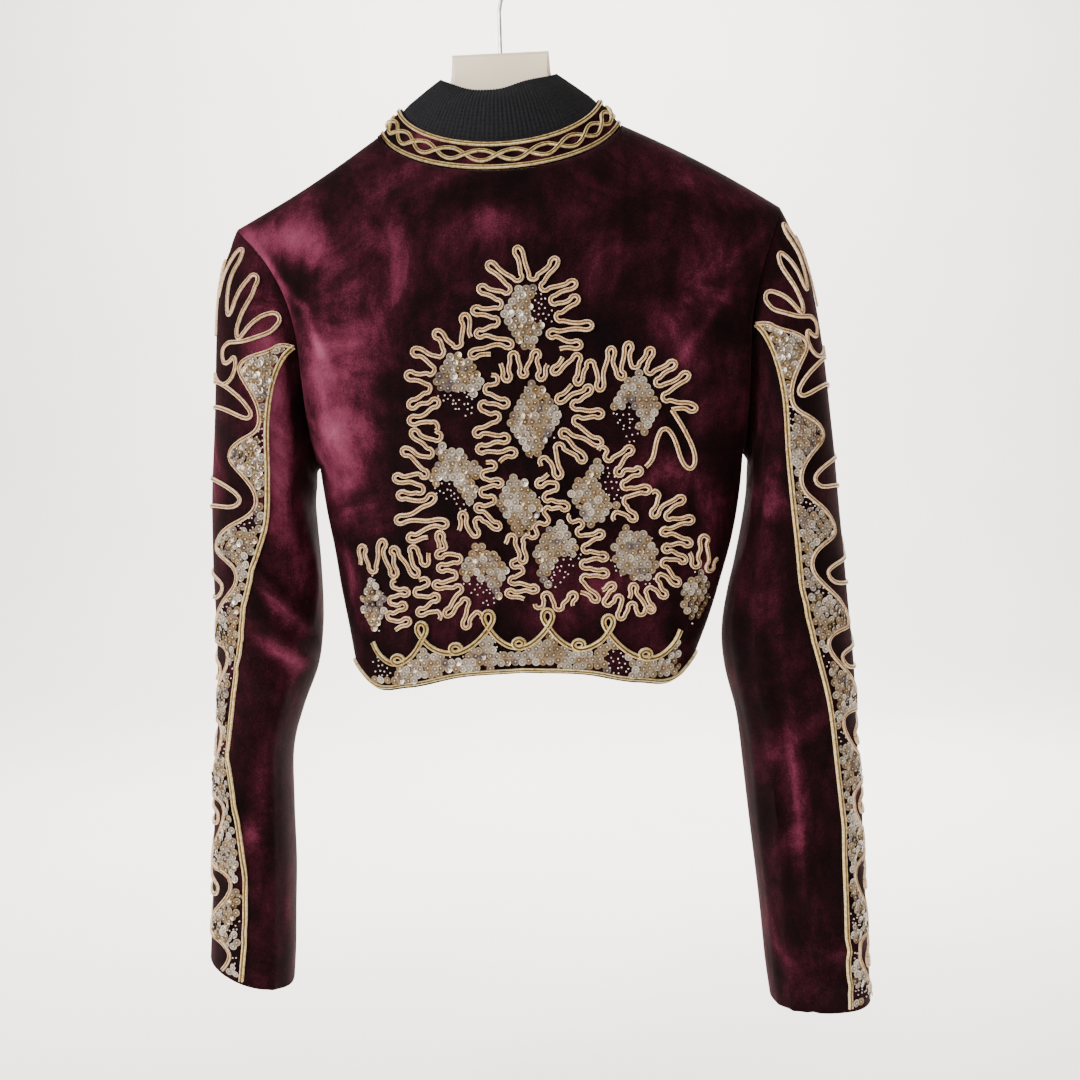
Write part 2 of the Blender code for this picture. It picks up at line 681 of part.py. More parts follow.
def hanger_board():
    """The broad flat board, cut to the shoulders' slope, with its edges eased."""
    outline = board_outline("right")
    outline += [(-x, z) for x, z in reversed(board_outline("left")[1:-1])]
    count = len(outline)
    middle = np.array(outline)
    around = np.roll(middle, -1, axis=0) - np.roll(middle, 1, axis=0)
    inward = np.stack([around[:, 1], -around[:, 0]], axis=1)
    inward /= np.linalg.norm(inward, axis=1, keepdims=True)
    points = []
    for y, ease in ((-0.5, 1), (-0.5, 0), (0.5, 0), (0.5, 1)):
        depth = BOARD_THICK * y + (0 if ease else -math.copysign(BOARD_EDGE, y))
        shift = inward * BOARD_EDGE * ease
        points += [(x, depth, z) for x, z in middle + shift]
    faces = [tuple(range(count)), tuple(range(3 * count, 4 * count))]
    for layer in range(3):
        for k in range(count):
            a, b = layer * count + k, layer * count + (k + 1) % count
            faces.append((a, b, b + count, a + count))
    add_mesh("hanger_board", points, faces, "board")


def hanger_hook():
    """The steel wire hook: a straight stem, then a bend round to the crown over the origin."""
    radius = HOOK_INNER + WIRE / 2
    centre = (0, -HOOK_INNER)
    path = [(0, PLATE_TOP + SEAM), (0, -70), (0, -58), (1.5, -50), (6, -43.5)]
    for angle in np.radians(np.linspace(-50, 200, 22)):
        path.append((centre[0] + radius * math.cos(angle), centre[1] + radius * math.sin(angle)))
    path = np.array(path)
    along = np.gradient(path, axis=0)
    along /= np.linalg.norm(along, axis=1, keepdims=True)
    sides = 8
    points, faces = [], []
    for (x, z), (dx, dz) in zip(path, along):
        for k in range(sides):
            c, s = (WIRE / 2 * f(2 * math.pi * k / sides) for f in (math.cos, math.sin))
            points.append((x - dz * c, s, z + dx * c))
    faces += [tuple(range(sides)), tuple(range(len(points) - sides, len(points)))]
    for i in range(len(path) - 1):
        for k in range(sides):
            a, b = i * sides + k, i * sides + (k + 1) % sides
            faces.append((a, b, b + sides, a + sides))
    add_mesh("hanger_hook", points, faces, "steel")


def clear_scene():
    for thing in list(bpy.data.objects):
        bpy.data.objects.remove(thing, do_unlink=True)


def main():
    clear_scene()
    sleeves = {
        "left": sleeve_grid(-1, LEFT_SLEEVE, LEFT_SLEEVE_FOLDS),
        "right": sleeve_grid(1, RIGHT_SLEEVE, RIGHT_SLEEVE_FOLDS),
    }
    panels = body_panels(sleeves)
    sleeve("left", LEFT_SLEEVE, *sleeves["left"], panels)
    sleeve("right", RIGHT_SLEEVE, *sleeves["right"], panels)
    collar(panels)
    rib_collar()
    collar_cords(panels)
    hem_cords(panels)
    front_cords(panels)
    sleeve_cords("left", panels)
    sleeve_cords("right", panels)
    hanger_board()
    hanger_hook()


main()
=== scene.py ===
"""A cropped velvet jacket worked with couched cord, cup sequins and beads, on a flat hanger.

Tables and sizes are in millimetres and are turned to metres where a mesh is made. +Z is up,
the back of the jacket faces -Y, and +X is the wearer's right.
"""

import math

import bpy
import numpy as np
from mathutils import Matrix, Vector


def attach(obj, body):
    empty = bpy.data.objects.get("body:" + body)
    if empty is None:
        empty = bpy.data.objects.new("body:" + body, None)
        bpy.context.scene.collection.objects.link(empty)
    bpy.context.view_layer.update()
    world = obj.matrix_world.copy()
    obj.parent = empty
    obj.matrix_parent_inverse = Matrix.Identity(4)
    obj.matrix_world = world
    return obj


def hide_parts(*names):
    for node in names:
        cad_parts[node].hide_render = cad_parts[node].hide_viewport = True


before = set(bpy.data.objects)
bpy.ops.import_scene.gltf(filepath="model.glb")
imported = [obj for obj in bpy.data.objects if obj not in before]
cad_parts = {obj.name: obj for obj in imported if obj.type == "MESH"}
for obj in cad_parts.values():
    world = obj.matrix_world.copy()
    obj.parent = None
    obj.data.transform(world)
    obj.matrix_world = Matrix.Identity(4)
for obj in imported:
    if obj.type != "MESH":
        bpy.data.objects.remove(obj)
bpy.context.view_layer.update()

# ---------------------------------------------------------------- camera
# One photograph from a little to the left of the jacket's middle, at chest height.
sight = bpy.data.cameras.new("photograph")
sight.sensor_width, sight.lens, sight.shift_x = 36, 44.3, 30 / 1080
eye = bpy.data.objects.new("photograph", sight)
bpy.context.scene.collection.objects.link(eye)
turn, pitch, roll = (math.radians(angle) for angle in (3, -2.585, -1.8))
ahead = Vector((-math.sin(turn) * math.cos(pitch), math.cos(turn) * math.cos(pitch), math.sin(pitch)))
beside = Vector((math.cos(turn), math.sin(turn), 0))
above = beside.cross(ahead)
stand = Matrix((beside, above, -ahead)).transposed().to_4x4()
place = Matrix.Translation((0.05045, -1.04856, -0.42154))
eye.matrix_world = place @ stand @ Matrix.Rotation(roll, 4, "Z")
bpy.context.scene.camera = eye

# ---------------------------------------------------------------- studio
# A pale floor that curves up into a pale wall a long way behind, and soft light from the
# front left, so that the right side of the jacket falls into shade.


def colour(code, alpha=1.0):
    """An sRGB hex colour as linear values."""
    parts = [int(code[i : i + 2], 16) / 255 for i in (1, 3, 5)]
    return [p / 12.92 if p <= 0.04045 else ((p + 0.055) / 1.055) ** 2.4 for p in parts] + [alpha]


def material_of(name, **values):
    """A new material, its node tree and its shader, whose inputs take the values."""
    material = bpy.data.materials.new(name)
    material.use_nodes = True
    shader = material.node_tree.nodes["Principled BSDF"]
    for socket, value in values.items():
        shader.inputs[socket.replace("_", " ")].default_value = value
    return material, material.node_tree, shader


def add(tree, kind, links=(), stops=(), into=None, **values):
    """Adds a node. Values whose name is a socket's fill it, and the others are settings. A link
    brings a number, a socket or a node's first output, and this node's own goes into a socket."""
    node = tree.nodes.new(kind)
    for name, value in values.items():
        if hasattr(node, name):
            setattr(node, name, value)
        else:
            node.inputs[name.replace("_", " ")].default_value = value
    for socket, source in links:
        if isinstance(source, float):
            node.inputs[socket].default_value = source
        else:
            tree.links.new(getattr(source, "outputs", [source])[0], node.inputs[socket])
    for i, (at, code) in enumerate(stops):
        ramp = node.color_ramp.elements
        stop = ramp[i] if i < 2 else ramp.new(at)
        stop.position, stop.color = at, colour(code)
    if into is not None:
        tree.links.new(node.outputs[0], into)
    return node


FLOOR, BEND, BEND_START = -1.02, 1.1, 2.2
sweep_line = [(-4.0, FLOOR), (BEND_START, FLOOR)]
for t in np.linspace(0.1, 1.57, 12):
    sweep_line.append((BEND_START + BEND * math.sin(t), FLOOR + BEND * (1 - math.cos(t))))
sweep_line.append((BEND_START + BEND, 4.0))
floor_mesh = bpy.data.meshes.new("studio_floor")
floor_mesh.from_pydata(
    [(x, y, z) for y, z in sweep_line for x in (-7, 7)],
    [],
    [(2 * i, 2 * i + 1, 2 * i + 3, 2 * i + 2) for i in range(len(sweep_line) - 1)],
)
floor_mesh.shade_smooth()
studio_floor = bpy.data.objects.new("studio_floor", floor_mesh)
bpy.context.scene.collection.objects.link(studio_floor)
paper, tree, shader = material_of("painted_board", Roughness=0.9)
where = add(tree, "ShaderNodeTexCoord").outputs["Object"]
grain = add(tree, "ShaderNodeTexNoise", [("Vector", where)], Scale=3.0)
stops = (0.3, "#f6f2ea"), (0.7, "#faf6ef")
add(tree, "ShaderNodeValToRGB", [("Fac", grain)], stops, shader.inputs["Base Color"])
floor_mesh.materials.append(paper)

CHEST, WALL = (0, 0, -0.42), (0, 3.3, -0.6)
for name, at, aim, power, size in (
    ("window_left", (-1.8, -1.6, 0.5), CHEST, 92, 1.2),
    ("fill_right", (1.6, -1.9, -0.3), CHEST, 12, 1.6),
    ("soft_behind", (0.6, 2.0, 0.6), CHEST, 45, 1.5),
    ("wall_wash", (0, 1.3, 1.2), WALL, 270, 2.8),
):
    lamp = bpy.data.lights.new(name, "AREA")
    lamp.energy, lamp.size = power, size
    light = bpy.data.objects.new(name, lamp)
    light.location = at
    light.rotation_euler = (Vector(aim) - Vector(at)).to_track_quat("-Z", "Y").to_euler()
    bpy.context.scene.collection.objects.link(light)
room = bpy.data.worlds.new("pale_room")
room.use_nodes = True
room.node_tree.nodes["Background"].inputs["Color"].default_value = colour("#f0e9de")
room.node_tree.nodes["Background"].inputs["Strength"].default_value = 0.84
bpy.context.scene.world = room

# ---------------------------------------------------------------- hanger
# A broad board cut to the slope of the shoulders, moulded in matt ivory plastic with a fine
# spark-eroded grain, and a hook bent from drawn steel wire.
ivory, tree, shader = material_of("moulded_ABS_ivory")
where = add(tree, "ShaderNodeTexCoord").outputs["Object"]
cloudy = add(tree, "ShaderNodeTexNoise", [("Vector", where)], Scale=14.0, Detail=3.0)
stops = (0.3, "#f0dabb"), (0.7, "#f7e8cf")
add(tree, "ShaderNodeValToRGB", [("Fac", cloudy)], stops, shader.inputs["Base Color"])
# The grain of the mould is about 0.6 mm, drawn at 0.9 mm so that it shows.
pits = add(tree, "ShaderNodeTexNoise", [("Vector", where)], Scale=1100.0, Detail=2.0)
add(tree, "ShaderNodeBump", [("Height", pits)], into=shader.inputs["Normal"], Strength=0.25, Distance=0.0003)
gloss = shader.inputs["Roughness"]
add(tree, "ShaderNodeMapRange", [("Value", cloudy)], into=gloss, To_Min=0.42, To_Max=0.58)
for slot in bpy.data.objects["hanger_board"].material_slots:
    slot.material = ivory

wire, tree, shader = material_of("drawn_steel_wire", Metallic=1.0)
where = add(tree, "ShaderNodeTexCoord").outputs["Object"]
# Drawing leaves fine lines along the wire, about 0.2 mm apart, drawn at 0.5 mm.
lines = add(tree, "ShaderNodeTexNoise", [("Vector", where)], Scale=2000.0, Detail=1.0)
cloudy = add(tree, "ShaderNodeTexNoise", [("Vector", where)], Scale=90.0, Detail=3.0)
stops = (0.3, "#8d8c8a"), (0.7, "#b9b8b5")
add(tree, "ShaderNodeValToRGB", [("Fac", cloudy)], stops, shader.inputs["Base Color"])
gloss = shader.inputs["Roughness"]
add(tree, "ShaderNodeMapRange", [("Value", lines)], into=gloss, To_Min=0.22, To_Max=0.4)
for slot in bpy.data.objects["hanger_hook"].material_slots:
    slot.material = wire

# ---------------------------------------------------------------- back and fronts
# Silk velvet on canvas: the back is cut in one piece and the two fronts meet edge to edge.
# The panels are sewn at the shoulders and sides and hang from the board by the shoulders.


def table(names, *rows):
    """A table as one array for each named column."""
    return dict(zip(names.split(), np.array(rows, float).T))


BODY = table(
    "height left  right back front",
    (-557, -130, 139, 60, 58),
    (-530, -134, 150, 63, 61),
    (-500, -139, 160, 66, 64),
    (-470, -143, 169, 70, 67),
    (-440, -148, 175, 76, 70),
    (-405, -152, 179, 80, 72),
    (-370, -155, 181, 81, 72),
    (-335, -157, 182, 80, 70),
    (-305, -160, 184, 77, 67),
    (-275, -169, 191, 72, 62),
    (-245, -187, 202, 66, 56),
    (-218, -212, 212, 60, 50),
)
HEM, UNDERARM, TIP = -557, -405, -218
TIP_X = 212
SQUARENESS = 2.4
ARMHOLE_DEPTH = 46
ARM_MIDDLE, ARM_HALF = (TIP + UNDERARM) / 2, (TIP - UNDERARM) / 2
HEM_LINE = table(
    "across back  front",
    (0.00, -566, -560),
    (0.35, -569, -560),
    (0.65, -577, -561),
    (0.86, -577, -560),
    (1.00, -559, -559),
)
NECK_X = -2
NECK = {"half": 94, "back": 52, "front": 50, "side": -150, "back_dip": 42, "front_dip": 58}
NECK_EASE = 0.15
THICK, SEAM, SLEEVE_SEAM, ARMHOLE_SEAM, FRONT_GAP = 1.8, 0.3, 0.06, 0.5, 1.0
# Folds and creases on the back: ends, half width, and height or, below nought, depth
BACK_FOLDS = (
    (-168, -270, -118, -450, 15, 5.0),
    (-186, -262, -150, -350, 10, -3.5),
    (-120, -300, -92, -440, 14, -3.0),
    (190, -262, 135, -340, 13, 4.5),
    (160, -310, 172, -410, 11, -4.0),
    (140, -350, 150, -450, 13, 3.5),
    (-120, -462, -20, -470, 12, -2.5),
    (150, -455, 60, -476, 12, -2.5),
)
BACK_CREASES = (
    (-192, -242, -150, -290, 5, 3.6),
    (-150, -288, -131, -340, 5, 3.0),
    (-181, -250, -158, -302, 4, -2.6),
    (-146, -318, -128, -392, 6, 2.4),
    (-112, -240, -98, -330, 12, 1.6),
    (-90, -232, -78, -300, 9, -1.4),
    (-136, -400, -124, -470, 5, -2.0),
    (-150, -410, -136, -452, 4, 1.8),
    (178, -272, 134, -318, 6, 2.8),
    (134, -318, 112, -352, 8, 1.6),
    (158, -318, 167, -392, 5, -2.6),
    (146, -330, 158, -400, 4, 2.0),
    (172, -262, 120, -292, 5, -1.8),
    (60, -214, 130, -238, 10, 1.8),
    (-150, -218, -70, -208, 9, 1.6),
    (-40, -226, 30, -230, 9, -1.0),
    (-128, -470, -118, -545, 6, 2.0),
    (-100, -505, -96, -556, 5, -1.4),
    (150, -440, 140, -520, 5, 2.2),
    (128, -488, 122, -552, 5, -1.6),
    (-60, -462, 20, -458, 8, 1.2),
    (20, -520, 24, -562, 6, 1.3),
    (70, -525, 66, -566, 5, -1.2),
)
FRONT_CREASES = (
    (-176, -258, -128, -330, 9, 3.0),
    (-150, -330, -138, -420, 7, -2.4),
    (-120, -440, -30, -452, 9, -1.6),
    (-60, -260, -48, -380, 12, 1.8),
    (-28, -300, -24, -420, 7, -1.2),
    (-110, -500, -100, -552, 6, 1.8),
    (182, -262, 130, -332, 8, 3.2),
    (150, -340, 160, -430, 7, -2.6),
    (140, -452, 50, -466, 9, -1.8),
    (64, -250, 52, -390, 12, 2.0),
    (26, -320, 30, -470, 7, -1.2),
    (112, -498, 104, -552, 6, 1.8),
)
# Where the pile lies the other way and shines, or below nought looks darker: partly the velvet's own patches,
# partly painted light.
# The thin rows along the creases are painted highlights on their ridges, with painted shade beside one, and
# the rows on the left shoulder and down the left side are painted sheen where the light falls.
BACK_NAP_AND_SHEEN = (
    (-150, -276, -140, -446, 40, 0.42),
    (-112, -300, -118, -420, 26, 0.34),
    (-214, -226, -140, -238, 14, 0.65),
    (-150, -236, -122, -268, 15, 0.5),
    (-70, -232, -84, -300, 22, 0.3),
    (-60, -226, 30, -240, 16, 0.24),
    (10, -212, 40, -300, 30, -0.16),
    (176, -252, 116, -318, 13, 0.3),
    (172, -278, 120, -348, 4, 0.3),
    (100, -262, 60, -330, 24, -0.14),
    (92, -404, 138, -426, 15, 0.24),
    (150, -420, 140, -470, 16, 0.2),
    (-120, -470, -60, -500, 18, -0.15),
    (-70, -300, -78, -440, 16, -0.2),
    (20, -350, 40, -480, 40, -0.08),
    # Painted highlights along the creases by the left armhole, and painted shade beside them.
    (-190, -238, -166, -272, 4, 0.6),
    (-168, -268, -150, -290, 4, 0.65),
    (-151, -286, -131, -340, 4.5, 0.7),
    (-180, -250, -158, -302, 4, 0.5),
    (-172, -252, -140, -312, 7, -0.4),
    (-146, -318, -128, -392, 5, 0.3),
    (-128, -470, -120, -545, 5, 0.3),
    (150, -440, 140, -520, 5, 0.3),
)


def smooth(places, values, at):
    """A smooth curve through the values at the places, which rise, read at many places."""
    slopes = np.gradient(values, places, axis=0)
    at = np.clip(at, places[0], places[-1])
    i = np.clip(np.searchsorted(places, at, "right") - 1, 0, len(places) - 2)
    step = places[i + 1] - places[i]
    t = (at - places[i]) / step
    if values.ndim > 1:
        t, step = t[:, None], step[:, None]
    start = (1 + 2 * t) * (1 - t) ** 2 * values[i] + t * (1 - t) ** 2 * step * slopes[i]
    end = t * t * (3 - 2 * t) * values[i + 1] + t * t * (t - 1) * step * slopes[i + 1]
    return start + end


def ridges(rows, x, z):
    """The sum of the folds at each place: a fold fades at its ends and across its width."""
    total = np.zeros(np.broadcast(x, z).shape)
    for x0, z0, x1, z1, width, height in rows:
        across, down = x1 - x0, z1 - z0
        t = np.clip(((x - x0) * across + (z - z0) * down) / (across**2 + down**2), 0, 1)
        away = np.hypot(x - x0 - t * across, z - z0 - t * down)
        total += height * np.sin(math.pi * (0.1 + 0.8 * t)) * np.exp(-((away / width) ** 2))
    return total


def swell(x, z, size, start):
    """A gentle uneven surface from a few crossing waves, between about -1 and 1."""
    total = 0
    for k in range(5):
        way = start + 2.4 * k
        wave = 2 * math.pi / (size * (0.7 + 0.17 * k))
        total = total + np.sin(wave * (x * math.cos(way) + z * math.sin(way)) + 1.7 * k + start)
    return total / 3


def eased(c):
    return (np.hypot(c, NECK_EASE) - NECK_EASE) / (math.hypot(1, NECK_EASE) - NECK_EASE)


def shoulder_height(x):
    """The shoulder seam from the side of the neck to the tip, carried on across the neck."""
    t = (abs(x - NECK_X) - NECK["half"]) / (TIP_X - NECK["half"])
    crown = (NECK["side"] - TIP) * NECK["half"] / (TIP_X - NECK["half"]) / 2
    over_neck = NECK["side"] + crown * (1 - ((x - NECK_X) / NECK["half"]) ** 2)
    sag = np.where(x < 0, 3, -3)
    slope = NECK["side"] + (TIP - NECK["side"]) * t - sag * np.sin(math.pi * np.clip(t, 0, 1))
    return np.where(t < 0, over_neck, slope)


def body_surface(side, across, height):
    """Points of the back (side -1) or the front (side 1), by place across and height."""
    across, height = np.broadcast_arrays(np.asarray(across, float), np.asarray(height, float))
    name = "back" if side < 0 else "front"
    v = np.clip((height - HEM) / (TIP - HEM), 0, 1)
    left, right, depth = (smooth(BODY["height"], BODY[k], height) for k in ("left", "right", name))
    x = (left + right) / 2 + (right - left) / 2 * across
    top_x = TIP_X * across
    closing = np.sqrt(1 - v**8)
    fullness = np.clip(1 - abs(across) ** SQUARENESS, 0, None) ** (1 / SQUARENESS)
    turned = np.clip(1 - ((height - ARM_MIDDLE) / ARM_HALF) ** 2, 0, None)
    edge = np.where(height > UNDERARM, ARMHOLE_DEPTH * np.sqrt(turned), 0)
    rise = np.clip((height - UNDERARM + 30) / 95, 0, 1)
    soft_edge = ARMHOLE_DEPTH * rise * rise * (3 - 2 * rise) * np.sqrt(np.clip(1 - v**8, 0, 1))
    at_seam = abs(across) ** 22
    edge = edge * at_seam + soft_edge * (1 - at_seam)
    y = edge + (depth * closing - edge) * fullness
    shoulder = shoulder_height(top_x + NECK_X)
    hem = smooth(HEM_LINE["across"], HEM_LINE[name], abs(across))
    z = height + (hem - HEM) * (1 - v) ** 3 + (shoulder - TIP) * v**3
    inside = np.clip(1 - (top_x / NECK["half"]) ** 2, 0, None)
    dip = np.sqrt(inside)
    reach = np.where(inside > 0, v ** (16 * (top_x / NECK["half"]) ** 4), 0)
    y = y + NECK[name] * dip * (1 - closing) * reach
    z = z + (NECK["side"] - NECK[name + "_dip"] * eased(dip) - shoulder) * v**6 * reach
    x = x + NECK_X * v**3 * np.minimum(1, (1 - abs(across)) / (1 - NECK["half"] / TIP_X))
    loose = fullness * closing
    if side < 0:
        y = y + (ridges(BACK_FOLDS, x, z) + ridges(BACK_CREASES, x, z)) * loose
    else:
        y = y + ridges(FRONT_CREASES, x, z) * loose
    y = y + loose * (0.7 * swell(x, z, 95, 1.0) + 0.25 * swell(x, z, 34, 2.2))
    return np.stack([x, side * np.maximum(y, SEAM / 2), z], axis=-1)


def unit(vectors):
    return vectors / (np.linalg.norm(vectors, axis=-1, keepdims=True) + 1e-12)


def body_facing(side, across, height):
    """Outward directions of the body at places on it."""
    up = body_surface(side, across, height + 0.6) - body_surface(side, across, height - 0.6)
    along = body_surface(side, across + 0.004, height) - body_surface(side, across - 0.004, height)
    out = unit(np.cross(up, along))
    return out * np.sign(out[..., 1:2] * side + 1e-9)


def body_place(side, x, z):
    """The place across and the height at which the body lies at (x, z), found step by step."""
    x, z = np.asarray(x, float), np.asarray(z, float)
    across, height = x / 175, z + 0.0
    for _ in range(14):
        here = body_surface(side, across, height)
        left, right = (smooth(BODY["height"], BODY[k], height) for k in ("left", "right"))
        across = np.clip(across + (x - here[..., 0]) / (right - left) * 2, -1, 1)
        height = np.clip(height + (z - here[..., 2]) * 0.85, HEM, TIP)
    return across, height


def on_body(side):
    """A function from (x, z) to the body's points and directions there."""

    def read(x, z):
        across, height = body_place(side, x, z)
        return body_surface(side, across, height), body_facing(side, across, height)

    return read


def grid_facing(grid, outward):
    """Unit directions of a grid of points, turned to the outward side."""
    out = unit(np.cross(np.gradient(grid, axis=0), np.gradient(grid, axis=1)))
    return out if (out * outward).sum() > 0 else -out


def link(name, mesh, material, slot, *nodes):
    """Puts a new piece in the scene: its material, its body, the nodes it stands for."""
    mesh.materials.append(material)
    piece = bpy.data.objects.new(name, mesh)
    bpy.context.scene.collection.objects.link(piece)
    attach(piece, "root")
    if nodes:
        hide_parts(*nodes)
    return piece


def put_map(mesh, name, maps):
    """Gives the vertices their (u, v); a short list starts again for the inner side."""
    corners = np.empty(len(mesh.loops), np.int32)
    mesh.loops.foreach_get("vertex_index", corners)
    mesh.uv_layers.new(name=name).data.foreach_set("uv", maps[corners % len(maps)].ravel())


def cloth_mesh(name, outer, inner, nap_and_sheen=None):
    """A closed sheet of cloth between an outer and an inner grid of points."""
    rows, columns = outer.shape[:2]
    k = np.arange(rows * columns).reshape(rows, columns)
    quads = np.stack([k[:-1, :-1], k[:-1, 1:], k[1:, 1:], k[1:, :-1]], axis=-1).reshape(-1, 4)
    rim = np.concatenate([k[0, :-1], k[:-1, -1], k[-1, :0:-1], k[:0:-1, 0]])
    after = np.roll(rim, -1)
    size = rows * columns
    walls = np.stack([after, rim, size + rim, size + after], axis=-1)
    faces = np.concatenate([quads, quads[:, ::-1] + size, walls])
    points = outer.reshape(-1, 3)
    one = points[quads]
    normal = np.cross(one[:, 1] - one[:, 0], one[:, 3] - one[:, 0])
    if (normal * (outer - inner).reshape(-1, 3)[quads[:, 0]]).sum() < 0:
        faces = faces[:, ::-1]
    mesh = bpy.data.meshes.new(name)
    both = np.concatenate([points, inner.reshape(-1, 3)]) / 1000
    mesh.from_pydata(both.tolist(), [], faces.tolist())
    mesh.shade_smooth()
    mesh.set_sharp_from_angle(angle=math.radians(60))
    # These values hold the pile's own patches with painted highlights and painted sheen.
    if nap_and_sheen is not None:
        values = np.concatenate([nap_and_sheen.ravel(), nap_and_sheen.ravel()]).astype(np.float32)
        mesh.attributes.new("nap_and_sheen", "FLOAT", "POINT").data.foreach_set("value", values)
    return mesh


# Silk velvet, crushed by wear and hanging: the pile lies in clouded patches, deep brown where it stands up
# and rose where it lies over. An attribute on the cloth adds painted highlights along crease ridges and
# painted sheen on the lit side. The pile, finer than 0.5 mm, is drawn at 1.3 mm.
velvet, tree, shader = material_of(
    "crushed_silk_velvet",
    Roughness=0.82,
    Specular_IOR_Level=0.05,
    Sheen_Weight=0.07,
    Sheen_Roughness=0.4,
    Sheen_Tint=colour("#c47a8c"),
)
where = add(tree, "ShaderNodeTexCoord").outputs["Object"]
clouds = add(
    tree, "ShaderNodeTexNoise", [("Vector", where)], Scale=17.0, Detail=5.0, Roughness=0.62, Distortion=0.5
)
hang = add(tree, "ShaderNodeMapping", [("Vector", where)], Scale=(1.0, 1.0, 0.32))
streaks = add(tree, "ShaderNodeTexNoise", [("Vector", hang)], Scale=75.0, Detail=4.0, Roughness=0.6)
pile = add(tree, "ShaderNodeTexNoise", [("Vector", where)], Scale=780.0, Detail=3.0, Roughness=0.75)
# The attribute read here holds the pile's own patches together with painted highlights along crease ridges
# and painted sheen on the lit side.
pile_and_sheen_fac = add(tree, "ShaderNodeAttribute", attribute_name="nap_and_sheen").outputs["Fac"]
broken = add(tree, "ShaderNodeMath", [(0, pile_and_sheen_fac), (1, clouds)], operation="MULTIPLY")
pile_lie_and_sheen = clouds
for source, share in ((streaks, 0.4), (broken, 1.3), (pile, 0.5)):
    pile_lie_and_sheen = add(tree, "ShaderNodeMath", [(0, source), (1, share), (2, pile_lie_and_sheen)], operation="MULTIPLY_ADD")
lightness = add(tree, "ShaderNodeMapRange", [("Value", pile_lie_and_sheen)], From_Min=0.62, From_Max=1.78)
stops = (
    (0.12, "#080203"), (1.0, "#824459"), (0.27, "#150407"), (0.405, "#2c0b15"), (0.557, "#4f1c2d"),
    (0.693, "#652b3f"), (0.845, "#73374c"),
)
add(tree, "ShaderNodeValToRGB", [("Fac", lightness)], stops, shader.inputs["Base Color"])
add(tree, "ShaderNodeBump", [("Height", pile_lie_and_sheen)], into=shader.inputs["Normal"], Strength=0.5, Distance=0.0012)


def body_rows(below, above):
    """Heights of the rows: even below the underarm, by angle above it."""
    turn = np.linspace(math.pi, 0, above + 1)
    return np.append(np.linspace(HEM, UNDERARM, below + 1)[:-1], ARM_MIDDLE + ARM_HALF * np.cos(turn))


def body_columns(neck, shoulder):
    """Places across the body from -1 to 1, with one at each side of the neck."""
    side = NECK["half"] / TIP_X
    turn = np.linspace(-math.pi / 2, math.pi / 2, neck + 1)
    sides = np.linspace(math.asin(side ** (SQUARENESS / 2)), math.pi / 2, shoulder + 1)[1:]
    outer = np.sin(sides) ** (2 / SQUARENESS)
    return np.concatenate([-outer[::-1], side * np.sin(turn), outer])


BELOW, ABOVE = 58, 72
heights, columns = body_rows(BELOW, ABOVE), body_columns(64, 36)
PANELS = (
    ("back", -1, columns),
    ("front_left", 1, columns[columns < 1e-6]),
    ("front_right", 1, columns[columns > -1e-6]),
)
body_grids = {}
for name, side, use in PANELS:
    grid = body_surface(side, use[None, :], heights[:, None])
    if side > 0:
        column, way = (-1, -1) if name == "front_left" else (0, 1)
        grid[:, column, 0] += FRONT_GAP / 2 * way
    body_grids[name] = (grid, grid_facing(grid, np.array([0, side, 0])))

# ---------------------------------------------------------------- sleeves
# Each sleeve is cut in two, an outer panel that carries the embroidery and a plain under
# panel, sewn to the armhole. It hangs from the shoulder and creases at the elbow.
SLEEVE_NAMES = "out_x out_z in_x in_z middle depth seam_back seam_front"
SLEEVES = {
    "left": table(
        SLEEVE_NAMES,
        (217, -231, 157, -412, -1, 49, 93, 88),
        (224, -252, 158, -424, -3, 53, 95, 86),
        (229, -290, 159, -440, -4, 56, 100, 84),
        (232, -340, 158, -460, -5, 57, 106, 82),
        (235, -390, 156, -484, -5, 56, 106, 80),
        (239, -440, 155, -512, -4, 54, 96, 78),
        (240, -490, 157, -540, -2, 52, 85, 76),
        (240, -535, 162, -566, 0, 50, 79, 74),
        (241, -580, 175, -598, 2, 47, 75, 74),
        (245, -625, 186, -634, 4, 46, 77, 74),
        (249, -670, 187, -680, 6, 46, 90, 76),
        (253, -715, 188, -730, 8, 44, 99, 76),
        (256, -757, 190, -778, 9, 42, 99, 78),
        (259, -799, 193, -823, 10, 40, 95, 80),
    ),
    "right": table(
        SLEEVE_NAMES,
        (218, -231, 184, -414, -1, 49, 90, 88),
        (227, -252, 183, -428, -3, 53, 90, 86),
        (236, -290, 181, -445, -4, 56, 92, 84),
        (243, -340, 177, -466, -5, 57, 96, 82),
        (247, -390, 171, -490, -5, 56, 93, 80),
        (251, -440, 164, -516, -4, 54, 88, 78),
        (255, -490, 160, -544, -2, 53, 84, 76),
        (259, -540, 162, -574, 0, 52, 77, 74),
        (262, -590, 170, -610, 2, 50, 70, 72),
        (264, -640, 175, -652, 4, 48, 66, 70),
        (267, -690, 179, -700, 6, 46, 64, 70),
        (268, -740, 184, -748, 8, 45, 65, 70),
        (270, -792, 188, -798, 9, 43, 68, 70),
        (271, -842, 192, -838, 10, 41, 67, 70),
    ),
}
# Broad swells, by degrees round from the outer line and rows down
SLEEVE_FOLDS = {
    "left": (
        (70, 6.6, 165, 8.1, 12, 4.5),
        (75, 8.0, 165, 9.2, 12, -3.5),
        (130, 1.0, 120, 5.0, 14, 3.5),
        (75, 11.6, 165, 10.4, 12, 3.0),
    ),
    "right": (
        (125, 4.0, 118, 9.0, 12, 3.5),
        (105, 8.0, 112, 12.0, 12, -3.0),
        (150, 1.5, 135, 6.0, 14, 3.0),
        (75, 12.6, 165, 12.2, 10, 2.5),
    ),
}
